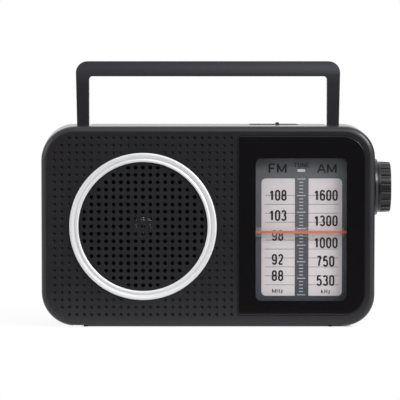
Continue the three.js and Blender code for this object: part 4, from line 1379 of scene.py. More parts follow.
class RADIO_OT_feet_and_screws(Operator):
    """Four rubber feet and four case screws"""

    bl_idname = "radio.feet_and_screws"
    bl_label = "Feet and screws"

    def execute(self, context):
        for name in ("front_left", "front_right", "rear_left", "rear_right"):
            low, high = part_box(f"foot_{name}")
            foot = slab(f"foot_pad_{name}", low, high, 1.5 * MM, "Z", 8)
            round_edges(foot, lies_at("Z", low.z), 0.45 * MM, 4)
            fit(foot, "cabinet", "rubber_black", f"foot_{name}")
        for index in SCREWS:
            self.screw(index)
        return {"FINISHED"}

    def screw(self, index):
        """A pan-head screw with a cross recess, its head to the rear."""
        low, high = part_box(f"cabinet_screw_{index}")
        middle = (low + high) / 2
        head = 2.8 * MM
        base = high.y - low.y - 2 * MM
        dome = [(head, base + 0.7 * MM), (head * 0.86, base + 1.45 * MM), (head * 0.5, base + 1.9 * MM)]
        shank = [(0, 0), (0.5 * MM, 0), (1.4 * MM, 3 * MM), (1.4 * MM, base), (head, base)]
        outline = shank + dome + [(0, base + 2 * MM)]
        screw = turned(f"case_screw_{index}", outline, (middle.x, low.y, middle.z), "Y", 32)
        for wide, tall in ((0.45, 1.5), (1.5, 0.45)):
            reach = Vector((wide * MM, MM, tall * MM))
            at = Vector((middle.x, high.y, middle.z))
            carve(screw, cuboid("cross", at - reach, at + reach))
        fit(screw, "cabinet", "steel_plain", f"cabinet_screw_{index}")


# ------------------------------------------------------------------ front trim and dial


class RADIO_OT_trim_ring(Operator):
    """Silver ring round the sound holes: a raised outer lip, a shallow band and an inner lip"""

    bl_idname = "radio.trim_ring"
    bl_label = "Trim ring"

    def execute(self, context):
        low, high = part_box("speaker_trim_ring")
        middle = (low + high) / 2
        outer = (high.x - low.x) / 2
        inner = outer - RING_WIDTH
        proud = FACE - low.y
        sunk = high.y - FACE
        # Shares of the ring's width from its outer edge, and of its height.
        section = (
            (0, 0.3), (0.03, 0.62), (0.07, 0.84), (0.13, 0.97), (0.20, 1), (0.29, 0.96),
            (0.38, 0.86), (0.47, 0.72), (0.54, 0.59), (RING_VALLEY, 0.53), (0.66, 0.6), (0.71, 0.79),
            (0.77, 0.95), (0.83, 1), (0.89, 0.95), (0.94, 0.82), (0.98, 0.55), (1, 0.3),
        )
        bead = [(outer + (inner - outer) * across, -proud * rise) for across, rise in section]
        outline = [(outer, sunk)] + bead + [(inner, sunk), (outer, sunk)]
        ring = turned("trim_ring", outline, (middle.x, FACE, middle.z), "Y", 120)
        fit(ring, "cabinet", "silver_trim", "speaker_trim_ring", angle=50)
        return {"FINISHED"}


class RADIO_OT_dial_glazing(Operator):
    """Acrylic dial glazing, black behind but for its window"""

    bl_idname = "radio.dial_glazing"
    bl_label = "Dial glazing"

    def execute(self, context):
        dial = context.scene.radio_dial
        low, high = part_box("dial_window")
        sheet = cuboid("dial_glazing", low, high)
        round_panel(sheet, dial, 5, 14)
        round_edges(sheet, lies_at("Y", low.y), 0.4 * MM, 4)
        fit(sheet, "cabinet", "dial_gloss", "dial_window", angle=40)
        return {"FINISHED"}


class RADIO_OT_dial_print(Operator):
    """Dial plate with its light strips, rules, plain numbers and band names"""

    bl_idname = "radio.dial_print"
    bl_label = "Dial print"

    def execute(self, context):
        dial = context.scene.radio_dial
        self.strips(dial)
        self.rules(dial)
        self.numbers(dial)
        return {"FINISHED"}

    def strips(self, dial):
        """Two light strips, rounded at their outer corners, with fine lines across them."""
        pieces, lines = [], []
        for left, right, line_left, line_right, outside in (
            (38.6, 62.75, 41.1, 62.75, -1), (72.66, 96.9, 72.66, 94.2, 1),
        ):
            strip = cuboid(
                "strip", spot(left * MM, DIAL_FACE - INK, dial.strip_low),
                spot(right * MM, DIAL_FACE, dial.strip_high),
            )
            middle = MIDDLE + (left + right) / 2 * MM
            outer = runs_along("Y", lambda at: (at.x - middle) * outside > 0)
            round_edges(strip, outer, dial.strip_corner, 6)
            pieces.append(strip)
            for index in range(STRIP_LINES):
                height = FIRST_LINE - index * dial.line_pitch
                lines.append(self.mark("line", line_left, line_right, height, 0.34))
        fit(join("dial_strips", pieces), "cabinet", "dial_print")
        fit(join("dial_lines", lines), "cabinet", "dial_print", material="dial_line")

    def mark(self, name, left, right, height, thick):
        """A thin printed line, with its ends and its thickness in millimetres."""
        half = thick / 2 * MM
        return cuboid(
            name, spot(left * MM, DIAL_FACE - 1.5 * INK, height - half),
            spot(right * MM, DIAL_FACE - 0.5 * INK, height + half),
        )

    def rules(self, dial):
        """The ruled column between the strips: every fifth tick is long."""
        ticks = []
        for index in range(RULE_TICKS):
            height = FIRST_TICK - index * dial.rule_pitch
            left, right = (64.4, 70.4) if index % 5 == 0 else (65.9, 68.8)
            ticks.append(self.mark("tick", left, right, height, 0.58))
        fit(join("dial_rules", ticks), "cabinet", "dial_print", material="dial_rule")

    def numbers(self, dial):
        """Station numbers, units and band names."""
        bold, space = dial.digit_weight, 0.5 * MM
        digits = dial.digit_height
        letters = []
        for marks, x in ((FM_MARKS, 50.3), (AM_MARKS, 85.0)):
            for text, height in marks.items():
                width = len(text) * dial.digit_pitch - space
                letters.append(self.word(text, (x, height), width, digits, bold, space))
        for text, place, width, height, weight in (
            ("FM", (50.2, 114.9), 13, 7.5, 1.25), ("AM", (85.7, 114.9), 14.4, 7.5, 1.25),
            ("MHz", (50.3, 26.1), 7.9, 3.3, 0.5), ("kHz", (85.2, 25.8), 6.7, 3.3, 0.5),
        ):
            letters.append(
                self.word(text, place, width * MM, height * MM, weight * MM, 0.5 * MM)
            )
        fit(join("dial_numbers", letters), "cabinet", "dial_print", material="dial_ink")
        name = self.word("TUNE", (67.6, 117.4), 11.2 * MM, 3.4 * MM, 0.5 * MM, 0.6 * MM)
        name.name = "dial_lamp_name"
        fit(name, "cabinet", "dial_print", material="dial_ink")

    def word(self, text, place, width, height, weight, space):
        """Characters on the plate, round a place in millimetres."""
        centre = spot(place[0] * MM, DIAL_FACE - 1.5 * INK, place[1] * MM)
        return lettering("word", text, centre, width, height, weight, space, INK)


class RADIO_OT_pointer_and_lamp(Operator):
    """Dial pointer, a clear bar with its red line, and the tuning lamp's lens"""

    bl_idname = "radio.pointer_and_lamp"
    bl_label = "Pointer and lamp"

    def execute(self, context):
        dial = context.scene.radio_dial
        low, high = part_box("dial_pointer")
        front, back = low.y, low.y + 1.4 * MM
        end = spot(dial.window_right, 0, 0).x - 2 * MM
        bar = slab("pointer_bar", (low.x, front, low.z), (end, back, high.z), 1.5 * MM)
        soften(bar, 0.25 * MM)
        fit(bar, "pointer", "clear_plastic")
        self.line(dial, low, high, back)
        low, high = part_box("tune_lamp")
        lamp = slab("lamp_lens", low, high, 0.7 * MM, "Y", 5)
        round_edges(lamp, lies_at("Y", low.y), 0.3 * MM, 3)
        fit(lamp, "cabinet", "lamp_white", "tune_lamp")
        return {"FINISHED"}

    def line(self, dial, low, high, back):
        """The red line, on a carriage with ways for the cord and the rail."""
        front = low.y
        middle = (low.z + high.z) / 2
        half = dial.pointer_line / 2
        line = slab(
            "pointer_line", (low.x, front + 0.2 * MM, middle - half),
            (high.x - 6 * MM, back - 0.2 * MM, middle + half), 0.3 * MM, segments=3,
        )
        carriage = cuboid(
            "carriage", (high.x - 8 * MM, front, low.z), (high.x, FACE + 12 * MM, high.z)
        )
        soften(carriage, 0.4 * MM)
        fuse(line, carriage)
        cord_low, cord_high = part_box("dial_cord")
        cord = (cord_low.x + cord_high.x) / 2
        carve(
            line,
            cuboid("cord_way", (cord - 0.7 * MM, FACE + 4.9 * MM, low.z - MM),
                   (cord + 0.7 * MM, FACE + 6.3 * MM, high.z + MM)),
            rod("rail_way", (high.x - 6.2 * MM, FACE + 9.5 * MM, low.z - MM), "Z", 9 * MM, 1.3 * MM, 20),
        )
        fit(line, "pointer", "pointer_red", "dial_pointer")


# ------------------------------------------------------------------ controls


class RADIO_OT_tuning_knob(Operator):
    """Fluted tuning knob and the round plate behind it"""

    bl_idname = "radio.tuning_knob"
    bl_label = "Tuning knob"

    def execute(self, context):
        sizes = context.scene.radio_knob
        low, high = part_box("tuning_knob")
        centre = Vector((0, (low.y + high.y) / 2, (low.z + high.z) / 2))
        radius = (high.z - low.z) / 2
        collar = 0.5 * MM
        plain = 1.3 * MM
        grip = high.x - low.x - collar
        knob = rod(
            "knob", (low.x + collar, centre.y, centre.z), "X", grip, radius, 120,
            radius - sizes.taper,
        )
        round_edges(knob, lies_at("X", high.x), 0.9 * MM, 4)
        first = math.radians(8)
        away = radius + 0.3 * sizes.groove
        start = centre + Vector((0, -away * math.sin(first), away * math.cos(first)))
        start.x = low.x + collar + plain
        tool = rod("flute", start, "X", grip, sizes.groove, 20)
        carve(knob, spread_round(tool, sizes.flutes, centre, "X"))
        self.dish(knob, (high.x, centre.y, centre.z), radius - 2.6 * MM)
        soften(knob, 0.16 * MM, 2, 50)
        neck = rod("neck", (low.x, centre.y, centre.z), "X", collar + 0.4 * MM, radius - MM, 96)
        fuse(knob, neck)
        carve(knob, rod("bore", (low.x - MM, centre.y, centre.z), "X", 8.1 * MM, 3.3 * MM, 32))
        fit(knob, "tuning", "knob_plastic", "tuning_knob", angle=35)
        self.plate()
        return {"FINISHED"}

    def dish(self, knob, end, radius):
        """A stepped dish in the knob's end, with a fine groove round its floor."""
        steps = ((0, -0.9), (0.72, -0.65), (0.76, -0.85), (0.80, -0.6), (0.93, -0.45), (1, 0.2), (0, 0.2))
        outline = [(share * radius, height * MM) for share, height in steps]
        carve(knob, turned("dish", outline, end, "X", 96))

    def plate(self):
        """The plate stands off the case on a narrower foot, and slopes up to the knob."""
        low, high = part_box("knob_plate")
        middle = ((low.y + high.y) / 2, (low.z + high.z) / 2)
        face = FRONT_HIGH.x + GAP
        radius = (high.z - low.z) / 2
        thick = high.x - face
        bore, sleeve, foot = 3.4 * MM, 4.5 * MM, radius - 1.8 * MM
        outline = [(bore, -4 * MM), (sleeve, -4 * MM), (sleeve, 0), (foot, 0), (foot, 0.8 * MM)]
        outline += [(radius - 0.15 * MM, 0.8 * MM), (radius, 0.95 * MM), (radius, 1.15 * MM)]
        outline += [(radius - 0.95 * MM, thick - 0.25 * MM), (radius - 1.25 * MM, thick)]
        outline += [(bore, thick), (bore, -4 * MM)]
        plate = turned("knob_back_plate", outline, (face, *middle), "X", 120)
        fit(plate, "cabinet", "knob_plastic", "knob_plate", angle=40)


class RADIO_OT_handle(Operator):
    """Carrying handle with rounded corners and legs that end round their pins"""

    bl_idname = "radio.handle"
    bl_label = "Handle"

    def execute(self, context):
        sizes = context.scene.radio_handle
        low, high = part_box("handle")
        body = cuboid("carrying_handle", low, high)
        upper = runs_along("Y", lambda at: at.z > sizes.pivot)
        round_edges(body, upper, sizes.outer_corner, 10)
        # The legs draw in a little towards their feet.
        pick(body, "VERT", lambda vertex: abs(vertex.co.z - low.z) < CLOSE)
        width = (high.x - low.x) / 2
        bpy.ops.transform.resize(
            value=(sizes.foot / width, 1, 1), center_override=(MIDDLE, 0, low.z)
        )
        leave()
        hollow = cuboid(
            "hollow", (MIDDLE - sizes.leg, low.y - MM, low.z - MM),
            (MIDDLE + sizes.leg, high.y + MM, high.z - sizes.bar),
        )
        round_edges(hollow, upper, sizes.inner_corner, 5)
        carve(body, hollow)
        self.round_legs(body, sizes, low, high)
        soften(body, sizes.edge, 4, 50)
        pins = rod("pins", (low.x - MM, SEAM, sizes.pivot), "X", high.x - low.x + 2 * MM, 2.3 * MM)
        carve(body, pins)
        fit(body, "handle", "handle_plastic", "handle", angle=40)
        self.pins(sizes)
        return {"FINISHED"}

    def pins(self, sizes):
        """The two pins that the legs turn on."""
        for side in ("left", "right"):
            low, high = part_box(f"handle_pin_{side}")
            pin = rod(
                f"pivot_pin_{side}", (low.x, SEAM, sizes.pivot), "X", high.x - low.x,
                (high.z - low.z) / 2,
            )
            soften(pin, 0.35 * MM, 3, 50)
            fit(pin, "cabinet", "steel_plain", f"handle_pin_{side}")

    def round_legs(self, body, sizes, low, high):
        """Cuts the legs' square ends to a half round about the pins."""
        half = (high.y - low.y) / 2
        end = cuboid(
            "end", (low.x - MM, low.y - MM, low.z - MM), (high.x + MM, high.y + MM, sizes.pivot)
        )
        keep = rod("keep", (low.x - 2 * MM, SEAM, sizes.pivot), "X", high.x - low.x + 4 * MM, half, 48)
        carve(end, keep)
        carve(body, end)


class RADIO_OT_slider_and_wheel(Operator):
    """Band slider in the top and the volume wheel in the side"""

    bl_idname = "radio.slider_and_wheel"
    bl_label = "Slider and wheel"

    def execute(self, context):
        self.slider()
        self.wheel(context.scene.radio_knob.teeth)
        return {"FINISHED"}

    def slider(self):
        """A thin plate with a round ridge on it and a lever under it."""
        low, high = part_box("band_slider")
        plate_top = TOP + 0.05 * MM
        floor = TOP - 1.1 * MM
        plate = slab("band_plate", (low.x, low.y, floor), (high.x, high.y, plate_top), 0.6 * MM, "Z", 4)
        round_edges(plate, lies_at("Z", plate_top), 0.2 * MM, 3)
        middle = (low.x + high.x) / 2
        ridge = rod(
            "ridge", (middle + GAP, low.y, TOP - 0.2 * MM), "Y", high.y - low.y, 1.8 * MM, 32
        )
        soften(ridge, 0.3 * MM, 3, 50)
        carve(ridge, cuboid("under", (low.x, low.y - MM, floor - 3 * MM), (high.x, high.y + MM, floor)))
        lever = cuboid(
            "lever", (middle - 1.5 * MM, low.y + 2.1 * MM, low.z),
            (middle + 1.5 * MM, low.y + 5.3 * MM, floor + 0.5 * MM),
        )
        soften(lever, 0.3 * MM)
        fuse(plate, ridge, lever)
        fit(plate, "band_slider", "knob_plastic", "band_slider")

    def wheel(self, teeth):
        """A wheel with a thinner web and a row of teeth round it."""
        low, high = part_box("volume_wheel")
        centre = Vector(((low.x + high.x) / 2, low.y, (low.z + high.z) / 2))
        radius = (high.z - low.z) / 2
        thick = high.y - low.y
        rim = [(radius - 0.6 * MM, 0), (radius, 0.5 * MM), (radius, thick - 0.5 * MM)]
        rim += [(radius - 0.6 * MM, thick)]
        web = [(radius - 2.5 * MM, thick), (radius - 3.2 * MM, thick - MM), (5 * MM, thick - MM)]
        hub = [(4.4 * MM, thick), (2.3 * MM, thick), (2.3 * MM, 0)]
        wheel = turned("volume_thumb_wheel", [hub[-1]] + rim + web + hub, centre, "Y", 144)
        tool = rod(
            "tooth", (centre.x, low.y - MM, centre.z + radius + 0.2 * MM), "Y", thick + 2 * MM,
            0.75 * MM, 12,
        )
        carve(wheel, spread_round(tool, teeth, centre, "Y"))
        fit(wheel, "volume_wheel", "knob_plastic", "volume_wheel")


# ------------------------------------------------------------------ loudspeaker


class RADIO_OT_speaker(Operator):
    """Loudspeaker's cone, rolled surround and bright dust cap"""

    bl_idname = "radio.speaker"
    bl_label = "Speaker"

    def execute(self, context):
        sizes = context.scene.radio_speaker
        low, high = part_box("speaker_cone")
        centre = Vector(((low.x + high.x) / 2, FACE, (low.z + high.z) / 2))
        self.dome(sizes, centre)
        self.cone(sizes, centre, low.y - FACE, high.y - FACE)
        self.roll(sizes, centre)
        return {"FINISHED"}

    def dome(self, sizes, centre):
        """A thin spun dome."""
        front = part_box("speaker_dust_cap")[0].y - FACE
        radius = (sizes.cap**2 + sizes.cap_rise**2) / (2 * sizes.cap_rise)
        reach = math.degrees(math.asin(min(1, sizes.cap / radius)))
        skin = arc((0, front + radius), radius, -90, -90 + reach, 10)
        inside = arc((0, front + radius), radius - 0.6 * MM, -90 + reach, -90, 10)
        cap = turned("dust_cap", skin + inside, centre, "Y", 72)
        fit(cap, "speaker_cone", "chrome_bright", "speaker_dust_cap", material="cap_satin", angle=60)

    def cone(self, sizes, centre, front, back):
        """A paper cone with shallow concentric corrugations."""
        inner = 11 * MM
        steps = 12
        outside, inside = [], []
        for step in range(steps + 1):
            share = step / steps
            radius = sizes.cone + (inner - sizes.cone) * share
            depth = front + 0.2 * MM + (back - front - MM) * share**0.85
            wave = 0.12 * MM * math.cos(step * math.pi)
            outside.append((radius, depth + wave))
            inside.append((radius, depth + wave + 0.6 * MM))
        outline = outside + inside[::-1] + [outside[0]]
        cone = turned("paper_cone", outline, centre, "Y", 96)
        fit(cone, "speaker_cone", "cone_paper", "speaker_cone", angle=60)

    def roll(self, sizes, centre):
        """The half roll between cone and frame."""
        inner, outer = sizes.cone + 0.5 * MM, sizes.surround
        middle, radius = (inner + outer) / 2, (outer - inner) / 2
        outside = [(outer, 7.2 * MM)] + arc((middle, 7.2 * MM), radius * 0.88, 0, -180, 10)
        inside = arc((middle, 7.7 * MM), radius * 0.72, -180, 0, 10)
        seat = sizes.cone - MM
        outline = outside + [(seat, 8.3 * MM), (seat, 8.8 * MM)] + inside
        outline += [(outer, 7.8 * MM), (outer, 7.2 * MM)]
        roll = turned("rubber_surround", outline, centre, "Y", 96)
        fit(roll, "speaker_cone", "rubber_black", "speaker_surround", angle=60)


# ------------------------------------------------------------------ rear fittings


class RADIO_OT_battery_door(Operator):
    """Battery door with its finger grips, trunnions and inner rib"""

    bl_idname = "radio.battery_door"
    bl_label = "Battery door"

    def execute(self, context):
        low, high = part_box("battery_door")
        left, right = low.x + 1.5 * MM, high.x - 1.5 * MM
        front = BACK - 2 * MM
        door = slab("battery_cover", (left, front, low.z), (right, BACK, high.z), 1.2 * MM, "Y", 4)
        round_edges(door, lies_at("Y", BACK), 0.4 * MM, 3)
        pins = rod("pins", (low.x, BACK - MM, 7.3 * MM), "X", high.x - low.x, 0.5 * MM, 12)
        rib = cuboid(
            "rib", (left + 8 * MM, front - 1.5 * MM, high.z - 16 * MM),
            (right - 8 * MM, front + 0.5 * MM, high.z - 10 * MM),
        )
        soften(rib, 0.3 * MM)
        fuse(door, pins, rib)
        middle = (left + right) / 2
        grips = []
        for index in range(4):
            height = high.z - (14 - 3 * index) * MM
            grips.append(
                slab(
                    "grip", (middle - 9 * MM, BACK - 0.8 * MM, height),
                    (middle + 9 * MM, BACK + MM, height + 1.4 * MM), 0.65 * MM, segments=5,
                )
            )
        carve(door, *grips)
        fit(door, "battery_door", "case_plastic", "battery_door")
        return {"FINISHED"}


class RADIO_OT_sockets(Operator):
    """Mains inlet with its two pins, and the earphone socket"""

    bl_idname = "radio.sockets"
    bl_label = "Sockets"

    def execute(self, context):
        self.inlet()
        self.earphone()
        return {"FINISHED"}

    def inlet(self):
        """A two-pole inlet: a flanged body with a pocket of two joined circles."""
        low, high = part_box("mains_inlet")
        left, right = low.x + 3 * MM, high.x - 3 * MM
        bottom, top = low.z + 2.5 * MM, high.z - 2.5 * MM
        body = slab("inlet_body", (left, low.y, bottom), (right, BACK, top), 1.4 * MM, "Y", 5)
        flange = slab(
            "flange", (low.x, BACK - 4.5 * MM, low.z), (high.x, BACK - 2.6 * MM, high.z), 2 * MM
        )
        fuse(body, flange)
        middle = (bottom + top) / 2
        pins = [(left + right) / 2 + side * 4.3 * MM for side in (-1, 1)]
        lobes = [
            rod("lobe", (x, BACK - 17 * MM, middle), "Y", 18 * MM, 3.5 * MM, 40) for x in pins
        ]
        bridge = cuboid(
            "bridge", (pins[0], BACK - 17 * MM, middle - 2.2 * MM),
            (pins[1], BACK + MM, middle + 2.2 * MM),
        )
        carve(body, *lobes, bridge)
        soften(body, 0.2 * MM, 2, 50)
        fit(body, "cabinet", "part_black", "mains_inlet")
        for name, x in zip(("left", "right"), pins):
            tip = arc((0.5 * MM, 9 * MM), 0.7 * MM, 0, 90, 4)
            outline = [(0, 0), (1.2 * MM, 0), *tip, (0, 9.7 * MM)]
            pin = turned(f"inlet_pin_{name}", outline, (x, BACK - 18 * MM, middle), "Y", 24)
            fit(pin, "cabinet", "part_black", material="steel_plain")

    def earphone(self):
        """A 3.5 mm socket, whose collar shows in the side of the case."""
        low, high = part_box("earphone_socket")
        middle = (low + high) / 2
        body = cuboid("earphone_jack", (low.x + 2.3 * MM, low.y, low.z), high)
        soften(body, 0.5 * MM, 3)
        reach = high.x - low.x
        outline = [(1.75 * MM, 0.4 * MM), (2.1 * MM, 0), (2.7 * MM, 0), (3 * MM, 0.3 * MM)]
        outline += [(3 * MM, 3 * MM), (1.75 * MM, 3 * MM), (1.75 * MM, 0.4 * MM)]
        collar = turned("collar", outline, (low.x, middle.y, middle.z), "X", 48)
        bore = rod("bore", (low.x - MM, middle.y, middle.z), "X", reach - MM, 1.75 * MM)
        fuse(body, collar)
        carve(body, bore)
        fit(body, "cabinet", "part_black", "earphone_socket")


class RADIO_OT_antenna(Operator):
    """Telescopic antenna: swivel base, three sections and its tip"""

    bl_idname = "radio.antenna"
    bl_label = "Antenna"

    def execute(self, context):
        low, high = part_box("antenna_tube")
        height = (low.z + high.z) / 2
        depth = (low.y + high.y) / 2
        self.base(context.scene.radio_case, depth, height)
        self.first_section(low, high, depth, height)
        self.second_section(depth, height)
        self.last_section(depth, height)
        return {"FINISHED"}

    def base(self, case, depth, height):
        """A dished disc that swivels, with two rounded ears and the pin through them."""
        step = FACE + case.step_depth
        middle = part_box("antenna_base")[1].x - 6.5 * MM
        rim = arc((6 * MM, 0.7 * MM), 0.5 * MM, 0, 90, 4)
        outline = [(0, -6 * MM - GAP), (3 * MM, -6 * MM - GAP), (3 * MM, 0), (6.5 * MM, 0)]
        outline += rim + [(0, 1.2 * MM)]
        base = turned("swivel_base", outline, (middle, step + GAP, height), "Y", 64)
        for bottom in (height - 4 * MM, height + 1.9 * MM):
            ear = cuboid(
                "ear", (middle - 4.5 * MM, step + 1.2 * MM, bottom),
                (middle + 4 * MM, depth + 3 * MM, bottom + 2.1 * MM),
            )
            rear = runs_along("Z", lambda at: at.y > depth + 2 * MM)
            round_edges(ear, rear, 2.5 * MM, 6)
            soften(ear, 0.2 * MM)
            fuse(base, ear)
        pin = rod("pin", (middle - MM, depth, height - 4.3 * MM), "Z", 8.6 * MM, MM, 24)
        soften(pin, 0.25 * MM, 2, 50)
        fuse(base, pin)
        fit(base, "antenna_base", "chrome_bright", "antenna_base")

    def first_section(self, low, high, depth, height):
        """The widest section, open at its far end, with the flat tongue at its foot."""
        radius = (high.z - low.z) / 2
        pin = high.x - 2.1 * MM
        start = pin - 6 * MM
        reach = start - low.x
        bore = radius - 0.5 * MM
        outline = [(0, reach - 3 * MM), (bore, reach - 3 * MM), (bore, 0), (radius - 0.15 * MM, 0)]
        outline += [(radius, 0.15 * MM), (radius, reach - 1.2 * MM), (radius - MM, reach), (0, reach)]
        tube = turned("first_section", outline, (low.x, depth, height), "X", 48)
        tongue = cuboid(
            "tongue", (start - 1.5 * MM, depth - 2.1 * MM, height - 1.6 * MM),
            (pin, depth + 2.1 * MM, height + 1.6 * MM),
        )
        knuckle = rod("knuckle", (pin, depth, height - 1.6 * MM), "Z", 3.2 * MM, 2.1 * MM)
        fuse(tube, tongue, knuckle)
        carve(tube, rod("bore", (pin, depth, height - 4 * MM), "Z", 8 * MM, 1.3 * MM))
        fit(tube, "antenna_tube", "chrome_bright", "antenna_tube")

    def second_section(self, depth, height):
        """A thin tube with a crimped mouth."""
        low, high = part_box("antenna_inner_tube")
        radius = (high.z - low.z) / 2
        reach = high.x - low.x
        bore = radius - 0.5 * MM
        outline = [(0, reach - 3 * MM), (bore, reach - 3 * MM), (bore, 0), (radius - 0.2 * MM, 0)]
        outline += [(radius - 0.05 * MM, 0.6 * MM), (radius, MM), (radius, reach), (0, reach)]
        tube = turned("second_section", outline, (low.x, depth, height), "X", 48)
        fit(tube, "antenna_inner_tube", "chrome_bright", "antenna_inner_tube")

    def last_section(self, depth, height):
        """The solid last section with its rounded tip."""
        low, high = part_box("antenna_rod")
        tip = (high.z - low.z) / 2
        radius = 1.65 * MM
        reach = high.x - low.x
        nose = arc((tip - 1.4 * MM, 1.4 * MM), 1.4 * MM, -90, 0, 6)
        outline = [(0, 0), *nose, (tip, 4.6 * MM), (tip - 0.5 * MM, 5.5 * MM), (radius, 5.5 * MM)]
        outline += [(radius, reach - 0.3 * MM), (radius - 0.3 * MM, reach), (0, reach)]
        last = turned("last_section", outline, (low.x, depth, height), "X", 48)
        fit(last, "antenna_rod", "chrome_bright", "antenna_rod")


class RADIO_OT_inner_works(Operator):
    """Finishes on the CAD pieces that are shown as they are"""

    bl_idname = "radio.inner_works"
    bl_label = "Inner works"

    def execute(self, context):
        slots = {part["node"]: part["material_slot"] for part in frame["record"]["subparts"]}
        own = {"dial_plate": "dial_slate", "speaker_yoke": "steel_black"}
        for name, node in frame["nodes"].items():
            if node.hide_render:
                continue
            node.data.materials.clear()
            node.data.materials.append(finish_of(own.get(name, slots[name])))
        return {"FINISHED"}


# ------------------------------------------------------------------ the stage


class RADIO_OT_stage(Operator):
    """Pale floor, soft lights, a white surrounding and the camera"""

    bl_idname = "radio.stage"
    bl_label = "Stage"

    def execute(self, context):
        settings = context.scene.radio_stage
        self.floor()
        self.flags()
        self.lights(settings)
        self.world(settings)
        self.camera(context, settings)
        context.scene.view_settings.view_transform = "Standard"
        return {"FINISHED"}

    def floor(self):
        """A pale floor, matt under the radio and with more and more glow away from it."""
        middle = 0.335
        clear_selection()
        bpy.ops.mesh.primitive_plane_add(size=1, location=(0, middle, -0.05 * MM))
        bpy.context.object.scale = (1.7, 0.93, 1)
        floor = settle("floor")
        paint = Paint("floor")
        soft = paint.noise(3, 2)
        tone = paint.blend(soft, (0.86, 0.86, 0.86), (0.88, 0.88, 0.88))
        matt = paint.node("ShaderNodeBsdfPrincipled", None, {"Base Color": tone, "Roughness": 0.9})
        glow = paint.node("ShaderNodeEmission", None, {"Color": (1, 1, 1), "Strength": 1})
        # The glow grows round the patch that the radio hides, and again near the floor's rim.
        across = paint.maths("ABSOLUTE", paint.part("X"), 0)
        away = paint.maths("ABSOLUTE", paint.part("Y") - middle, 0)
        edge = paint.maths("MAXIMUM", (across - 0.35) * 2.2, (away - 0.39) * 14)
        behind = paint.maths("ABSOLUTE", paint.part("Y"), 0)
        beside = paint.maths("MAXIMUM", across - 0.094, behind - 0.021)
        share = 0.02 + 0.88 * paint.clamped(beside * 200) + 0.1 * paint.clamped(edge)
        mixed = paint.node(
            "ShaderNodeMixShader", None, {0: bright_rays(paint) * share, 1: matt, 2: glow}
        )
        paint.node("ShaderNodeOutputMaterial", None, {"Surface": mixed})
        floor.data.materials.append(paint.material)

    def flags(self):
        """Dark cards out of the picture: the front mirrors one, the right edge the other."""
        paint = Paint("flag")
        cloth = paint.noise(5, 2)
        tone = paint.blend(cloth, (0.03, 0.03, 0.03), (0.05, 0.05, 0.05))
        black = paint.finish(base_color=tone, roughness=0.9)
        for name, low, high, shades in (
            ("front_flag", (-1.8, -2.9, -1.7), (1.8, -2.899, 1.5), True),
            ("side_flag", (0.5, 0.03, -0.04), (0.501, 1.1, 0.5), False),
        ):
            card = cuboid(name, low, high)
            card.data.materials.append(black)
            card.visible_camera = False
            card.visible_diffuse = shades
            card.visible_shadow = shades

    def lights(self, settings):
        """A large softbox in front and a smaller one at each side, all aimed at the radio."""
        target = Vector((0, 0, 0.09))
        boxes = (
            ("key", (0.95, -1.9, 2.0), (2.2, 2.2), settings.key),
            ("left", (-1.6, -0.6, 0.7), (0.8, 0.8), settings.fill),
            ("right", (1.4, -0.75, 1.1), (0.8, 0.9), 5.5 * settings.fill),
        )
        for name, place, size, power in boxes:
            clear_selection()
            bpy.ops.object.light_add(type="AREA", location=place)
            lamp = bpy.context.object
            lamp.name = name
            lamp.data.shape = "RECTANGLE"
            lamp.data.size, lamp.data.size_y = size
            lamp.data.energy = power
            lamp.rotation_euler = (target - Vector(place)).to_track_quat("-Z", "Y").to_euler()

    def world(self, settings):
        """Soft light all round, seen as plain white."""
        world = bpy.data.worlds.new("studio")
        bpy.context.scene.world = world
        paint = Paint("studio", world)
        soft, plain = (
            paint.node("ShaderNodeBackground", None, {"Color": (1, 1, 1), "Strength": strength})
            for strength in (settings.ambient, 1)
        )
        mixed = paint.node("ShaderNodeMixShader", None, {0: bright_rays(paint), 1: soft, 2: plain})
        paint.node("ShaderNodeOutputWorld", None, {"Surface": mixed})

    def camera(self, context, settings):
        """A long lens, a little above the radio's middle and straight in front."""
        clear_selection()
        target = spot(-5.84 * MM, 0, 92.47 * MM)
        tilt = settings.elevation
        back = Vector((0, -math.cos(tilt), math.sin(tilt)))
        bpy.ops.object.camera_add(
            location=target + back * settings.distance, rotation=(math.pi / 2 - tilt, 0, 0)
        )
        camera = bpy.context.object
        camera.data.lens = settings.lens
        context.scene.camera = camera


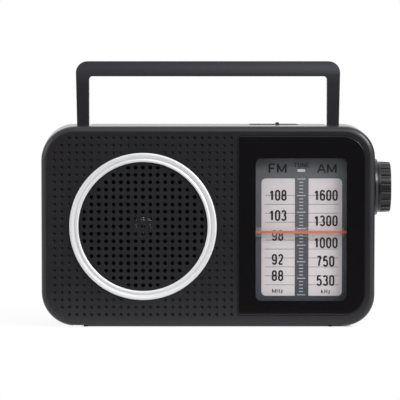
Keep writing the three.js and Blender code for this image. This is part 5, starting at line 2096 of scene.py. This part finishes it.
def bright_rays(paint):
    """1 for the rays that look at, mirror or look through to the surroundings."""
    path = "ShaderNodeLightPath"
    seen = paint.node(path, output="Is Camera Ray")
    mirrored = paint.node(path, output="Is Glossy Ray")
    through = paint.node(path, output="Is Transmission Ray")
    return paint.maths("MINIMUM", seen + mirrored + through, 1)


# ------------------------------------------------------------------ the add-on


SETTINGS = {
    "radio_case": CaseSizes,
    "radio_grille": GrilleSizes,
    "radio_dial": DialSizes,
    "radio_knob": KnobSizes,
    "radio_handle": HandleSizes,
    "radio_speaker": SpeakerSizes,
    "radio_colours": RadioColours,
    "radio_stage": StageSettings,
}

STEPS = (
    RADIO_OT_front_shell,
    RADIO_OT_rear_shell,
    RADIO_OT_feet_and_screws,
    RADIO_OT_trim_ring,
    RADIO_OT_dial_glazing,
    RADIO_OT_dial_print,
    RADIO_OT_pointer_and_lamp,
    RADIO_OT_tuning_knob,
    RADIO_OT_handle,
    RADIO_OT_slider_and_wheel,
    RADIO_OT_speaker,
    RADIO_OT_battery_door,
    RADIO_OT_sockets,
    RADIO_OT_antenna,
    RADIO_OT_inner_works,
    RADIO_OT_stage,
)


class RADIO_PT_sidebar(Panel):
    """The radio's steps, sizes and colours"""

    bl_idname = "RADIO_PT_sidebar"
    bl_label = "Table radio"
    bl_space_type = "VIEW_3D"
    bl_region_type = "UI"
    bl_category = "Radio"

    def draw(self, context):
        layout = self.layout
        for step in STEPS:
            layout.operator(step.bl_idname)
        for name, group in SETTINGS.items():
            box = layout.box()
            for key in group.__annotations__:
                box.prop(getattr(context.scene, name), key)


def register():
    for kind in (*SETTINGS.values(), *STEPS, RADIO_PT_sidebar):
        bpy.utils.register_class(kind)
    for name, group in SETTINGS.items():
        setattr(Scene, name, PointerProperty(type=group))


def unregister():
    for name in SETTINGS:
        delattr(Scene, name)
    for kind in (*SETTINGS.values(), *STEPS, RADIO_PT_sidebar):
        bpy.utils.unregister_class(kind)


def main():
    register()
    for step in STEPS:
        module, name = step.bl_idname.split(".")
        getattr(getattr(bpy.ops, module), name)()


if __name__ == "__main__":
    main()
